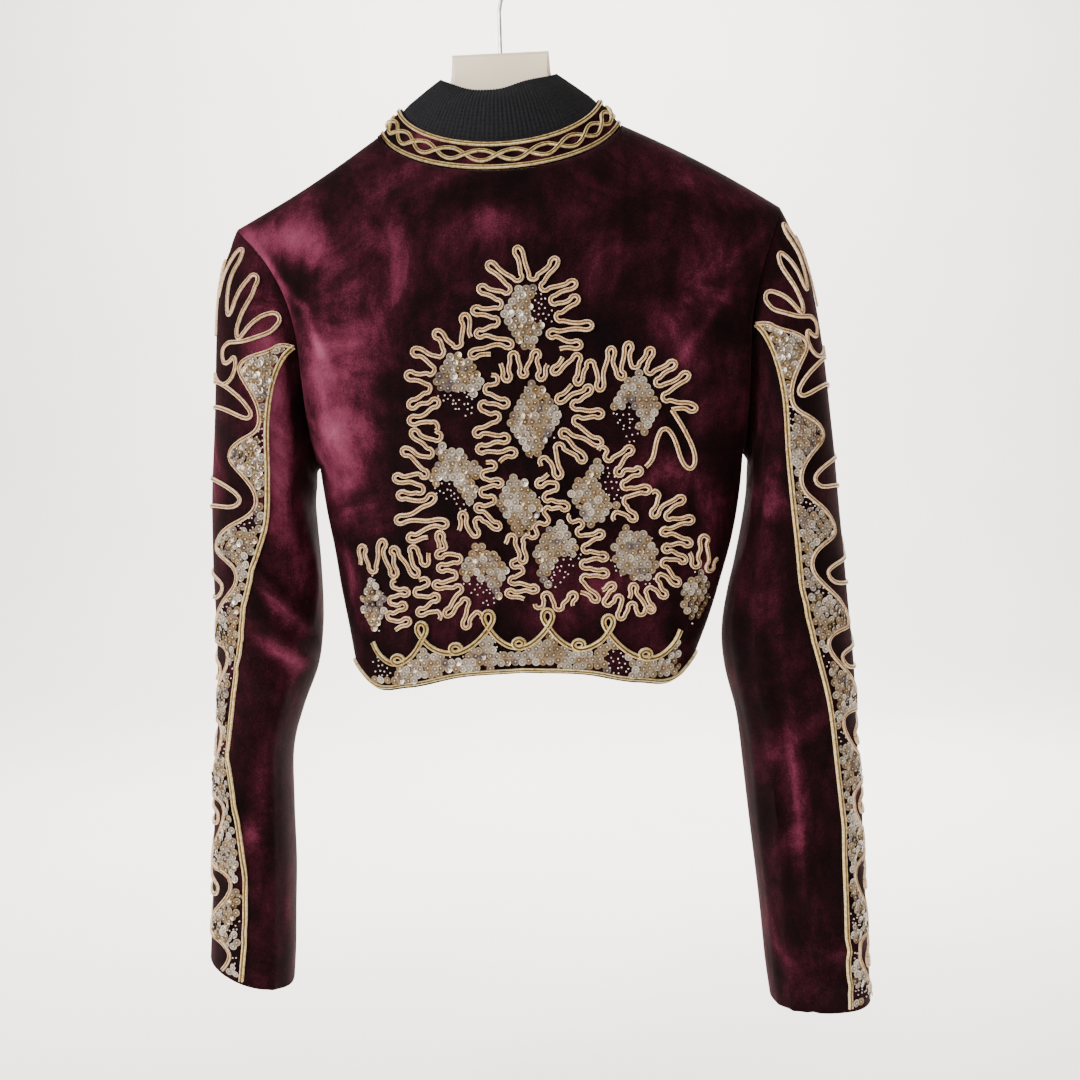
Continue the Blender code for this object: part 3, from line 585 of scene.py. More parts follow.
# Creases, in millimetres round from the outer line by the back and down from the armhole
AROUND, DOWN = 0.92, 43.0
SLEEVE_CREASES = {
    "left": (
        (30, 20, 62, 60, 7, 2.2),
        (84, 30, 118, 120, 8, 2.8),
        (70, 250, 132, 292, 8, 3.8),
        (78, 300, 150, 338, 7, 4.4),
        (90, 278, 150, 312, 5, -3.0),
        (62, 352, 120, 372, 6, 2.8),
        (72, 330, 128, 350, 4, -2.4),
        (100, 396, 60, 440, 6, 2.2),
        (88, 452, 40, 520, 7, 2.4),
        (110, 476, 70, 560, 6, -2.2),
        (120, 540, 60, 580, 5, 2.0),
        (150, 180, 138, 290, 9, 2.6),
        (200, 290, 262, 330, 8, 3.0),
        (196, 340, 270, 352, 7, -2.4),
        (232, 400, 280, 470, 8, 2.2),
        (250, 120, 236, 240, 10, 2.0),
    ),
    "right": (
        (86, 20, 122, 100, 8, 2.6),
        (112, 120, 104, 250, 8, 3.0),
        (128, 210, 118, 330, 6, -2.4),
        (60, 300, 128, 330, 7, 2.6),
        (70, 340, 124, 356, 5, -2.0),
        (92, 380, 98, 520, 6, 3.4),
        (104, 392, 110, 500, 4, -2.4),
        (40, 560, 104, 548, 5, 2.6),
        (52, 584, 110, 572, 4, 2.2),
        (60, 600, 112, 596, 4, -1.8),
        (20, 420, 60, 480, 7, 1.8),
        (200, 300, 262, 336, 8, 3.0),
        (198, 350, 266, 360, 7, -2.4),
        (240, 420, 276, 500, 8, 2.2),
        (252, 120, 240, 250, 10, 2.0),
    ),
}
# Where the pile lies over and shines, or below nought looks darker, round and down in millimetres as for the
# creases: partly the velvet's own patches, partly painted light. The thin rows along the creases are painted
# highlights on their ridges, and the upper rows of the left sleeve are painted sheen where the light falls.
SLEEVE_NAP_AND_SHEEN = {
    "left": (
        (60, 10, 96, 130, 22, 0.4),
        (92, 60, 100, 210, 16, 0.6),
        (106, 70, 112, 220, 12, 0.4),
        (80, 270, 130, 300, 12, 0.55),
        (76, 318, 140, 344, 9, 0.5),
        (20, 150, 30, 300, 20, 0.2),
        (112, 400, 84, 560, 12, 0.3),
        (40, 90, 50, 170, 16, -0.2),
    ),
    "right": (
        (96, 140, 108, 240, 10, 0.3),
        (94, 380, 98, 520, 6, 0.45),
        (40, 550, 104, 556, 9, 0.35),
        (60, 150, 70, 330, 24, -0.15),
    ),
}


RING_TURN = np.linspace(0, 2 * math.pi, 2881)
ARMHOLES = {
    word: np.where(
        (RING_TURN <= math.pi)[:, None],
        body_surface(-1, side, ARM_MIDDLE + ARM_HALF * np.cos(RING_TURN)),
        body_surface(1, side, ARM_MIDDLE + ARM_HALF * np.cos(RING_TURN)),
    )
    for word, side in (("left", -1), ("right", 1))
}


def plain_sleeve(word, row, angle):
    """A sleeve without its creases: row 0 is the armhole and 14 the cuff."""
    side = -1 if word == "left" else 1
    rows, hole = SLEEVES[word], ARMHOLES[word]
    turned = np.mod(angle, 2 * math.pi)
    ring = np.stack([np.interp(turned, RING_TURN, hole[:, k]) for k in range(3)], axis=-1)
    tip, underarm = hole[0], hole[1440]
    first = {
        "out_x": abs(tip[0]), "out_z": tip[2], "in_x": abs(underarm[0]), "in_z": underarm[2],
        "middle": 0, "depth": ARMHOLE_DEPTH,
    }

    def section(values):
        out = np.stack([side * values["out_x"], values["middle"], values["out_z"]], axis=-1)
        into = np.stack([side * values["in_x"], values["middle"], values["in_z"]], axis=-1)
        deep = np.stack([0 * values["depth"], -values["depth"], 0 * values["depth"]], axis=-1)
        c, s = np.cos(angle)[..., None], np.sin(angle)[..., None]
        return (out + into) / 2 + (out - into) / 2 * c + deep * s

    spots = np.arange(15.0)
    now = {k: smooth(spots, np.append(first[k], rows[k]), row) for k in first}
    start = {k: np.full(np.shape(row), float(first[k])) for k in first}
    bow = ring - section(start)
    fade = np.clip(1 - row / 6, 0, None)[..., None] ** 1.5
    return section(now) + bow * fade


def facing_of(surface, word, row, angle):
    """Outward directions of a sleeve, from its slopes down and round."""
    down = surface(word, row + 0.03, angle) - surface(word, np.maximum(row - 0.03, 0), angle)
    around = surface(word, row, angle + 0.02) - surface(word, row, angle - 0.02)
    return unit(np.cross(down, around)) * (1 if word == "left" else -1)


def sleeve_surface(word, row, angle):
    row, angle = np.broadcast_arrays(np.asarray(row, float), np.asarray(angle, float))
    degrees = np.degrees(np.mod(angle, 2 * math.pi))
    x, z = degrees * AROUND, row * DOWN
    start = np.clip(row, 0, 1)
    lift = ridges(SLEEVE_FOLDS[word], degrees, row - 1) * start
    soft = start * start * (3 - 2 * start)
    lift = lift + soft * (ridges(SLEEVE_CREASES[word], x, z) + 0.5 * swell(x, z, 70, 3.0))
    out = facing_of(plain_sleeve, word, row, angle)
    return plain_sleeve(word, row, angle) + out * lift[..., None]


def seam_angles(word, row):
    """Angles at which the outer panel starts, by the front seam, and ends, by the back one."""
    rows, spots = SLEEVES[word], np.arange(15.0)
    back, front = (
        np.radians(smooth(spots, np.append(rows[k][:1], rows[k]), row)) for k in ("seam_back", "seam_front")
    )
    return -front, back


def mitre(own, other):
    """The direction of a cloth's edge where it meets another, unless they face apart."""
    together = (own * other).sum(axis=-1, keepdims=True)
    return unit(own + other * np.clip(2 * together, 0, 1))


def armhole_facing(word, angle):
    """The body's outward directions along an armhole, by angle."""
    column = 0 if word == "left" else -1
    turn = np.linspace(0, math.pi, ABOVE + 1)
    back = body_grids["back"][1][BELOW:, column][::-1]
    front = body_grids["front_" + word][1][BELOW:, column][::-1]
    angles = np.append(turn, 2 * math.pi - turn[-2:0:-1])
    both = np.concatenate([back, front[-2:0:-1]])
    return unit(np.stack([np.interp(angle, angles, both[:, k], period=2 * math.pi) for k in range(3)], -1))


sleeve_rows = np.append(np.linspace(0, 1, 10)[:-1], np.linspace(1, 14, 125))
for word in ("left", "right"):
    row = sleeve_rows[:, None]
    start, end = seam_angles(word, row)
    for name, low, high, count in (
        ("sleeve_outer_", start, end, 40),
        ("sleeve_under_", end, start + 2 * math.pi, 34),
    ):
        angle = low + (high - low) * np.linspace(0, 1, count + 1)[None, :]
        row_here = np.broadcast_to(row, angle.shape)
        outer = sleeve_surface(word, row_here, angle)
        out = facing_of(sleeve_surface, word, row_here, angle)
        out[0] = mitre(out[0], armhole_facing(word, angle[0]))
        outer[0] += unit(outer[1] - outer[0]) * ARMHOLE_SEAM
        for edge, neighbour in ((0, 1), (-1, -2)):
            outer[:, edge] += unit(outer[:, neighbour] - outer[:, edge]) * SLEEVE_SEAM
        # The pile's own patches with painted highlights and painted sheen on the sleeve.
        nap_and_sheen = ridges(SLEEVE_NAP_AND_SHEEN[word], np.degrees(np.mod(angle, 2 * math.pi)) * AROUND, row_here * DOWN)
        node = name + word
        mesh = cloth_mesh(node, outer, outer - THICK * out, nap_and_sheen)
        link(node + "_velvet", mesh, velvet, "velvet", node)

# The body's panels, whose edges are turned in along the armholes.
for name, side, use in PANELS:
    grid, out = body_grids[name]
    out = out.copy()
    for word, column in (("left", 0), ("right", -1)):
        if abs(use[column]) > 0.999:
            turn = np.linspace(math.pi, 0, ABOVE + 1)
            turn = turn if side < 0 else 2 * math.pi - turn
            ring = facing_of(sleeve_surface, word, 0 * turn, turn)
            out[BELOW:, column] = mitre(out[BELOW:, column], ring)
    inner = grid - THICK * out
    inner[..., 1] = side * np.maximum(side * inner[..., 1], SEAM / 2)
    if side > 0:
        middle = -1 if name == "front_left" else 0
        inner[:, middle, 0] = grid[:, middle, 0]
    # Painted highlights and painted sheen on the back come in with the pile's own patches.
    nap_and_sheen = ridges(BACK_NAP_AND_SHEEN if side < 0 else (), grid[..., 0], grid[..., 2])
    node = "back_panel" if side < 0 else name
    link(name + "_velvet", cloth_mesh(name, grid, inner, nap_and_sheen), velvet, "velvet", node)

# ---------------------------------------------------------------- stand collar
# A band of the same velvet, sewn round the neck and open at the middle of the front.
STAND = {"half": 77, "back": 45, "front": 43, "side": -129, "back_dip": 40, "front_dip": 50}
NECK_SEAM, COLLAR_END = 0.8, 179.4


def neck_ring(ring, angle):
    """Points of a ring round the neck, by angle from the middle of the back."""
    c, s = np.cos(angle), np.sin(angle)
    y = np.where(c > 0, -ring["back"] * c, -ring["front"] * c)
    dip = np.where(c > 0, ring["back_dip"], ring["front_dip"])
    return np.stack([NECK_X + ring["half"] * s, y, ring["side"] - dip * eased(c)], axis=-1)


def on_stand(angle, up):
    """Points and directions of the stand collar, by angle and share of its height."""
    low, high = neck_ring(NECK, angle), neck_ring(STAND, angle)
    low = low + unit(high - low) * NECK_SEAM
    along = neck_ring(STAND, angle + 0.01) - neck_ring(STAND, angle - 0.01)
    out = unit(np.cross(along, high - low))
    return low + (high - low) * up[..., None], out


angles = np.radians(np.linspace(-COLLAR_END, COLLAR_END, 321))
ups = np.linspace(0, 1, 9)[:, None] + 0 * angles
band, out = on_stand(np.broadcast_to(angles, ups.shape), ups)
out = out if (out * (band - band.mean(axis=(0, 1)))).sum() > 0 else -out
foot = out.copy()
foot[0, :, 2] = 0
foot = unit(foot)
nap_and_sheen = 0.25 * swell(band[..., 0], band[..., 2], 40, 1)
mesh = cloth_mesh("collar_band", band, band - THICK * foot, nap_and_sheen)
collar = link("collar_band_velvet", mesh, velvet, "velvet", "collar_band")

# ---------------------------------------------------------------- ribbed inner collar
# Black 2x2 rib knit: its foot is sewn inside the stand, and the ribs draw it in to the rim.
RIB_MID = {"half": 58, "back": 42, "front": 40, "side": -118, "back_dip": 21, "front_dip": 28}
RIB_TOP = {"half": 45, "back": 35, "front": 33, "side": -108, "back_dip": 13, "front_dip": 18}
RIBS, RIB_HEIGHT, RIB_GAP = 124, 0.8, 0.6

angles = np.radians(np.linspace(-COLLAR_END, COLLAR_END, RIBS * 5 + 1))
rings = [neck_ring(ring, angles) for ring in (NECK, STAND, RIB_MID, RIB_TOP)]
out = grid_facing(np.array(rings[:2]), rings[1] - rings[1].mean(axis=0))
inset = out * (2.0 + RIB_GAP)
rings = [(rings[0] - inset[0] + rings[1] - inset[1]) / 2, rings[1] - inset[1], rings[2], rings[3]]
knit = [rings[0] * (1 - t) + rings[1] * t for t in np.linspace(0, 1, 5)[:-1]]
above_foot = np.array([ring.ravel() for ring in rings[1:]])
above_foot = smooth(np.arange(3.0), above_foot, np.linspace(0, 2, 22))
knit = np.concatenate([knit, above_foot.reshape(22, -1, 3)])
# The rim is worn into two soft humps, with a low place a little left of the middle.
worn = np.where(np.cos(angles) > 0, np.exp(-((abs(np.sin(angles) + 0.2) / 0.55) ** 3)), 0.05)
climb = np.clip((np.arange(len(knit)) - 6) / (len(knit) - 7), 0, 1) ** 2
knit[:, :, 2] -= climb[:, None] * (0.8 + 6.0 * worn)
out = grid_facing(knit, knit - knit.mean(axis=(0, 1)))
wave = np.cos(RIBS * angles)
wave = np.sign(wave) * abs(wave) ** 0.6
grown = np.clip((np.arange(len(knit)) - 4) / 3, 0, 1)[:, None, None]
outer = knit + out * grown * RIB_HEIGHT * (wave[None, :, None] * 0.5 + 0.5)
mesh = cloth_mesh("neck_rib", outer, outer - out * 2.0)
rounds = np.broadcast_to(np.linspace(0, 0.34, len(angles)), knit.shape[:2]).ravel()
climbs = np.broadcast_to(np.linspace(0, 0.05, len(knit))[:, None], knit.shape[:2]).ravel()
put_map(mesh, "knit", np.stack([rounds, climbs], axis=-1))
# Worsted yarn, about 1.5 mm a stitch, drawn at 2.2 mm: soft loops with a dull charcoal sheen.
rib_yarn, tree, shader = material_of(
    "worsted_rib_knit", Roughness=0.9, Specular_IOR_Level=0.15, Sheen_Weight=0.06, Sheen_Roughness=0.5
)
over = add(tree, "ShaderNodeUVMap", uv_map="knit")
bands = {"wave_type": "BANDS", "bands_direction": "Y"}
stitch = add(tree, "ShaderNodeTexWave", [("Vector", over)], Scale=145.0, Distortion=1.2, Detail=1.0, **bands)
where = add(tree, "ShaderNodeTexCoord").outputs["Object"]
fuzz = add(tree, "ShaderNodeTexNoise", [("Vector", where)], Scale=900.0)
loops = [(0, stitch.outputs["Fac"]), (1, 0.12), (2, fuzz)]
blend = add(tree, "ShaderNodeMath", loops, operation="MULTIPLY_ADD")
stops = (0.3, "#060607"), (0.85, "#1d1d22")
add(tree, "ShaderNodeValToRGB", [("Fac", blend)], stops, shader.inputs["Base Color"])
add(tree, "ShaderNodeBump", [("Height", blend)], into=shader.inputs["Normal"], Strength=0.3, Distance=0.0004)
rib = link("neck_rib_knit", mesh, rib_yarn, "rib_knit", "neck_rib")

# ---------------------------------------------------------------- collar cords
# Gold purl, a coil of fine gilt wire over a soft core: one run along each edge of the stand
# and two that cross between them in a row of eyes, all couched down with silk.
CORD, CORD_HEIGHT, CORD_LIFT = 3.2, 1.9, 0.15
COLLAR_INSET, EYES, EYE_HALF = 2.6, 22, 5.0
TWO_STRANDS = ((-0.5, 0), (-0.45, 0.7), (-0.25, 1), (0, 0.55), (0.25, 1), (0.45, 0.7), (0.5, 0))


def cord_mesh(name, runs, width, height):
    """Cords laid along runs of points, standing out along the directions given with them."""
    shape = np.array(TWO_STRANDS)
    sides = len(shape)
    points, faces, maps, count = [], [], [], 0
    for line, out in runs:
        line, out = np.asarray(line), unit(np.asarray(out))
        along = unit(np.gradient(line, axis=0))
        across = unit(np.cross(along, out))
        far = np.append(0, np.cumsum(np.linalg.norm(np.diff(line, axis=0), axis=1)))
        ring = (
            line[:, None]
            + across[:, None] * shape[None, :, :1] * width
            + out[:, None] * shape[None, :, 1:] * height
        )
        points.append(ring.reshape(-1, 3))
        u = np.broadcast_to(far[:, None], ring.shape[:2])
        v = np.broadcast_to(shape[None, :, 0] + 0.5, ring.shape[:2])
        maps.append(np.stack([u / 1000, v], axis=-1).reshape(-1, 2))
        k = count + np.arange(len(line) * sides).reshape(len(line), sides)
        here, there = k, np.roll(k, -1, axis=1)
        quads = np.stack([here[:-1], there[:-1], there[1:], here[1:]], axis=-1).reshape(-1, 4)
        faces += quads.tolist() + [k[0, ::-1].tolist(), k[-1].tolist()]
        count += len(line) * sides
    points, maps = np.concatenate(points), np.concatenate(maps)
    mesh = bpy.data.meshes.new(name)
    mesh.from_pydata((points / 1000).tolist(), [], faces)
    mesh.shade_smooth()
    mesh.set_sharp_from_angle(angle=math.radians(75))
    put_map(mesh, "cord", maps)
    return mesh


def couched(name, runs, width, height, material, slot, *nodes):
    """A visible piece made of cords."""
    return link(name, cord_mesh(name, runs, width, height), material, slot, *nodes)


def cord_material(name, stops, turn_mm, metal, rough, lift):
    """A cord of two strands: painted shade darkens the groove between them, and the turns of its wrap show as
    slanting bands of painted shade.
    """
    material, tree, shader = material_of(name, Metallic=metal, Roughness=rough)
    over = add(tree, "ShaderNodeUVMap", uv_map="cord")
    split = add(tree, "ShaderNodeSeparateXYZ", [("Vector", over)])
    along, width = split.outputs["X"], split.outputs["Y"]
    centred = add(tree, "ShaderNodeMath", [(0, width), (1, 0.5)], operation="SUBTRACT")
    off = add(tree, "ShaderNodeMath", [(0, centred)], operation="ABSOLUTE")
    slant = add(tree, "ShaderNodeMath", [(0, off), (1, 0.003), (2, along)], operation="MULTIPLY_ADD")
    per_turn = 2 * math.pi * 1000 / turn_mm
    turns = add(tree, "ShaderNodeMath", [(0, slant), (1, per_turn)], operation="MULTIPLY")
    wrap = add(tree, "ShaderNodeMath", [(0, turns)], operation="SINE")
    where = add(tree, "ShaderNodeTexCoord").outputs["Object"]
    worn = add(tree, "ShaderNodeTexNoise", [("Vector", where)], Scale=420.0, Detail=2.0)
    shade = add(tree, "ShaderNodeMath", [(0, wrap), (1, 0.12), (2, worn)], operation="MULTIPLY_ADD")
    # Painted shade: darker towards the groove between the strands.
    bright = add(tree, "ShaderNodeMapRange", [("Value", off)], From_Min=0.02, From_Max=0.3)
    # The painted shade of the groove and of the wrap's turns, as one value for the ramp.
    depth = add(tree, "ShaderNodeMath", [(0, bright), (1, shade)], operation="MULTIPLY")
    add(tree, "ShaderNodeValToRGB", [("Fac", depth)], stops, shader.inputs["Base Color"])
    relief = shader.inputs["Normal"]
    add(tree, "ShaderNodeBump", [("Height", wrap)], into=relief, Strength=lift, Distance=0.0003)
    return material


# The wire's turns are about 0.4 mm apart, drawn at 1.3 mm so that they show.
gold_purl = cord_material(
    "gilt_purl",
    ((0.0, "#3f2912"), (0.6, "#f8e6b8"), (0.22, "#9c7a3e"), (0.4, "#dcbf80")),
    1.3,
    0.45,
    0.4,
    0.7,
)
height = np.linalg.norm(neck_ring(STAND, angles) - neck_ring(NECK, angles), axis=1).mean()


def collar_run(up, lift, angle):
    """A run round the stand, by share of its height, lifted off the velvet."""
    line, out = on_stand(angle, up)
    out = out if (out * (line - line.mean(axis=0))).sum() > 0 else -out
    return line + out * lift[:, None], out


angle = np.radians(np.linspace(-COLLAR_END + 4, COLLAR_END - 4, 420))
edge = COLLAR_INSET / height
for name, up in (("collar_cord_lower", edge), ("collar_cord_upper", 1 - edge)):
    run = collar_run(np.full(len(angle), up), np.full(len(angle), CORD_LIFT), angle)
    couched(name + "_purl", [run], CORD, CORD_HEIGHT, gold_purl, "gold_cord", name)
for name, way in (("collar_wave_a", 1), ("collar_wave_b", -1)):
    phase = EYES * math.pi * (np.degrees(angle) + COLLAR_END) / (2 * COLLAR_END)
    lift = CORD_LIFT + np.clip(way * np.cos(phase), 0, None) ** 2 * 1.7
    run = collar_run(0.5 + way * np.sin(phase) * EYE_HALF / height, lift, angle)
    couched(name + "_purl", [run], CORD * 0.85, CORD_HEIGHT, gold_purl, "gold_cord", name)

# ---------------------------------------------------------------- hem and front cords
# The same purl: a fine run on the hem's edge, a run down each front's edge, and a heavier
# scalloped run above the hem that turns a small loop at each point and each low place.
HEM_CORD, HEM_UP, SIDE_STOP, MIDDLE_STOP = 2.6, 2.3, 0.015, 0.02
SCALLOP_CORD, SCALLOP_HEIGHT = 4.0, 2.1
SCALLOPS = (-109, -70, -19, 25, 70, 124)
SCALLOP_TOP, SCALLOP_FALL = 36, 16.5
FRONT_INSET = 2.9
LOW_LOOP = ((3.4, 1.2), (4.2, 4.6), (0, 7), (-4.2, 4.6), (-3.4, 1.2), (0, -0.3))
HIGH_LOOP = ((2, 2.5), (4, 7), (3, 11), (0, 12.5), (-3, 11), (-4, 7), (-2, 2.5))


def rounded(points, step=1.35, turns=3):
    """A smooth line near the given points, in even steps."""
    line = np.array(points, float)
    for _ in range(turns):
        cut = np.empty((2 * len(line) - 2, line.shape[1]))
        cut[0::2] = line[:-1] * 0.75 + line[1:] * 0.25
        cut[1::2] = line[:-1] * 0.25 + line[1:] * 0.75
        line = np.concatenate([line[:1], cut, line[-1:]])
    far = np.append(0, np.cumsum(np.linalg.norm(np.diff(line, axis=0), axis=1)))
    at = np.linspace(0, far[-1], max(3, int(far[-1] / step)))
    return np.stack([np.interp(at, far, line[:, k]) for k in range(line.shape[1])], axis=-1)


def lay(skin, line, lift=CORD_LIFT):
    """A line of (x, z) laid on a surface."""
    points, out = skin(line[:, 0], line[:, 1])
    return points + out * np.broadcast_to(lift, len(line))[:, None], out


def scallop_line(foot, cusps):
    """The scalloped line from the first point to the last, with its loops."""
    line = []
    for start, end in zip(cusps, cusps[1:]):
        for k in range(1, 12):
            t = k / 12
            x = start + (end - start) * t
            z = foot(x) + SCALLOP_TOP - SCALLOP_FALL * math.sin(math.pi * t) ** 0.8
            line.append((x, z))
            if k == 6:
                line += [(x + a, z + b) for a, b in LOW_LOOP]
        if end != cusps[-1]:
            z = foot(end) + SCALLOP_TOP
            line += [(end + a, z + b) for a, b in HIGH_LOOP]
    first, last = foot(cusps[0]) + SCALLOP_TOP, foot(cusps[-1]) + SCALLOP_TOP
    return [(cusps[0], first)] + line + [(cusps[-1], last)]


hem_bands = {}
for name, side, low, high in (("back", -1, -1, 1), ("front_left", 1, -1, 0), ("front_right", 1, 0, 1)):
    skin = on_body(side)
    grid = body_grids[name][0]
    foot = lambda x, grid=grid: float(np.interp(x, grid[0, :, 0], grid[0, :, 2]))
    first = low + (SIDE_STOP if low < 0 else MIDDLE_STOP)
    last = high - (SIDE_STOP if high > 0 else MIDDLE_STOP)
    across = np.linspace(first, last, 320 if side < 0 else 160)
    level = np.full(len(across), HEM + HEM_UP)
    out = body_facing(side, across, level)
    run = (body_surface(side, across, level) + out * CORD_LIFT, out)
    couched(f"hem_cord_{name}_purl", [run], HEM_CORD, CORD_HEIGHT, gold_purl, "gold_cord", "hem_cord_" + name)
    cusps = SCALLOPS
    if side > 0:
        edges = body_surface(1, np.array([-0.992, 0.992]), HEM)[:, 0]
        cusps = np.linspace(edges[0] + 8, -9, 4) if low < 0 else np.linspace(9, edges[1] - 8, 4)
    line = rounded(scallop_line(foot, cusps))
    run = lay(skin, line, CORD_LIFT + 0.5 * (1 + np.sin(np.arange(len(line)) * 0.23)))
    node = "scallop_cord_" + name
    couched(node + "_purl", [run], SCALLOP_CORD, SCALLOP_HEIGHT, gold_purl, "gold_cord", node)
    hem_bands[name] = (skin, foot, cusps)

for word, way in (("left", -1), ("right", 1)):
    level = np.linspace(HEM + 9, TIP - 1.4, 260)
    left, right = (smooth(BODY["height"], BODY[k], level) for k in ("left", "right"))
    across = way * FRONT_INSET / ((right - left) / 2)
    out = body_facing(1, across, level)
    run = (body_surface(1, across, level) + out * CORD_LIFT, out)
    node = "front_cord_" + word
    couched(node + "_purl", [run], CORD, CORD_HEIGHT, gold_purl, "gold_cord", node)

# ---------------------------------------------------------------- sleeve cords
# Beside each long seam of the outer panel: a straight run of gold, and a cream silk cord that
# swings out and back beside it. Short hairpins and a few fingers fill the plain bays.
BORDER_START, BORDER_INSET, BORDER_CORD, BORDER_HEIGHT = 12, 2.6, 4.0, 1.8
WAVE_PITCH, WAVE_CORD, WAVE_HEIGHT = 60.0, 3.1, 1.6

# Silk cord, peach in the light and brown with painted shade in its groove, with its twist drawn at 1.7 mm.
silk_cord = cord_material(
    "twisted_silk_cord",
    ((0.0, "#4c2d16"), (0.56, "#f0cfb0"), (0.2, "#94703f"), (0.36, "#cfa878")),
    1.7,
    0.0,
    0.55,
    0.5,
)

# Pale gold thread of the same make, for the border.
gold_thread = cord_material(
    "pale_gilt_thread",
    ((0.0, "#4a3014"), (0.58, "#ecd6a4"), (0.2, "#8c6c36"), (0.38, "#c6a568")),
    1.5,
    0.25,
    0.45,
    0.6,
)


def beside_seam(word, edge):
    """A function from (distance off the seam, distance down it) to the sleeve's surface."""
    spots = np.linspace(0, 14, 281)
    start, end = seam_angles(word, spots)
    line = sleeve_surface(word, spots, end if edge == "back" else start)
    far = np.append(0, np.cumsum(np.linalg.norm(np.diff(line, axis=0), axis=1)))
    way = -1 if edge == "back" else 1

    def read(off, down):
        row = np.interp(down, far, spots)
        low, high = seam_angles(word, row)
        angle = high if edge == "back" else low
        for _ in range(12):
            here = plain_sleeve(word, row, angle)
            beyond = plain_sleeve(word, row, angle + way * 0.03)
            angle = angle + way * off / 12 * 0.03 / np.linalg.norm(beyond - here, axis=-1)
        return sleeve_surface(word, row, angle), facing_of(sleeve_surface, word, row, angle)

    turn = start + (end - start) * np.linspace(0, 1, 41)[:, None]
    rings = plain_sleeve(word, np.broadcast_to(spots, turn.shape), turn)
    half = np.linalg.norm(np.diff(rings, axis=0), axis=-1).sum(axis=0) / 2
    return read, far[-1], lambda down: np.interp(down, far, half)


# Fingers of the sleeve's head, by distance off the seam and down it, from the outside in
HEAD_FINGERS = (
    (126, 64), (124, 42), (120, 26), (114, 26), (113, 44), (109, 54), (104, 32), (103, 14), (98, 6),
    (93, 11), (93, 26), (90, 42), (84, 54), (78, 48), (76, 32), (74, 18), (69, 10), (62, 14), (61, 28),
    (64, 42), (66, 54), (60, 56), (52, 42), (42, 22), (33, 9), (25, 9), (26, 20), (36, 34), (50, 49),
    (64, 60), (76, 68), (84, 78), (78, 84), (69, 78), (62, 68), (57, 72), (60, 82), (68, 92), (78, 98),
    (90, 100), (100, 98),
)
# A hairpin for each bay, by share of the bay's half width and distance down from its middle
HAIRPIN = (
    (1.0, -25), (0.5, -12), (0.16, -4), (0, 2), (0.12, 8), (0.5, 3), (0.86, -6), (1.1, -6), (1.5, 2),
    (1.86, 7), (2.0, 13), (1.88, 19), (1.5, 15), (1.12, 11), (0.98, 20),
)
WAVE_FIRST, WAVE_SLANT, WAVE_LOW, WAVE_TALL = 37.0, 0.62, 13.5, 36.0


def wave_off(level, half):
    """How far off the seam the swinging cord lies, by level: the sections of a sleeve slant."""
    phase = 2 * math.pi * (level - WAVE_FIRST) / WAVE_PITCH
    phase = phase + 0.3 * np.sin(phase)
    tall = np.minimum(WAVE_TALL, half - WAVE_LOW - 9)
    return WAVE_LOW + tall * (0.5 + 0.5 * np.cos(phase)) * (1 + 0.08 * np.sin(level / 37))


seam_strips = {}
for word in ("left", "right"):
    for edge in ("back", "front"):
        skin, length, half_width = beside_seam(word, edge)
        down = np.linspace(BORDER_START - 8, length - 3, int(length / 1.3))
        border = np.stack([np.full(len(down), BORDER_INSET), down], axis=-1)
        level = np.arange(10, length - 6, 4.0)
        off = wave_off(level, half_width(level + 20))
        swing = np.stack([off, level + WAVE_SLANT * off], axis=-1)
        swing = np.concatenate([[(BORDER_INSET, BORDER_START - 8)], swing[swing[:, 1] < length - 3]])
        node = f"border_cord_{word}_{edge}"
        run = lay(skin, border)
        couched(node + "_purl", [run], BORDER_CORD, BORDER_HEIGHT, gold_thread, "gold_cord", node)
        runs = [lay(skin, rounded(swing, 1.3, 2), 0.25)]
        head = np.array(HEAD_FINGERS) * (1.0 if word == "left" else 0.94)
        if edge == "front":
            runs.append(lay(skin, rounded(head[:-2])))
        else:
            # One cord runs down the middle and puts a hairpin into each bay, left and right.
            bends = []
            for k in range(1, int(length / WAVE_PITCH)):
                at = WAVE_FIRST + WAVE_PITCH * (k - 0.5) + 3 * math.sin(5.1 * k)
                half = float(half_width(at + 25))
                tip = 26 + 3 * math.cos(3.7 * k)
                for u, level in HAIRPIN:
                    off = tip + (half - tip) * u
                    bends.append((off, at + level + WAVE_SLANT * (half - abs(off - half))))
            bends = np.concatenate([head, bends])
            runs.append(lay(skin, rounded(bends[bends[:, 1] < length - 4])))
        node = f"wave_cord_{word}_{edge}"
        couched(node + "_silk", runs, WAVE_CORD, WAVE_HEIGHT, silk_cord, "cream_cord", node)
        seam_strips[word, edge] = (skin, length, half_width)

# ---------------------------------------------------------------- cord on the back
# Silk cord wanders over the lower back in rounded fingers, fanned round the lozenges of
# sequins. It is laid by rule along a few plain curves, in a layout of its own.
LOZENGES = (
    # middle, half width and half height, turn, and the side left open for beads
    (17, -303, 18, 25, 0, 20),
    (-34, -350, 18, 25, 14, 245),
    (20, -378, 19, 28, 0, None),
    (94, -371, 18, 26, -8, 235),
    (-39, -418, 19, 26, 20, 225),
    (7, -441, 16, 23, 6, None),
    (63, -434, 19, 25, -10, 35),
    (-21, -490, 18, 25, 12, 240),
    (33, -476, 17, 27, -12, 315),
    (91, -480, 19, 24, 26, None),
    (136, -514, 11, 22, -12, None),
    (-107, -512, 10, 22, 4, None),
)
OVAL = 1.25
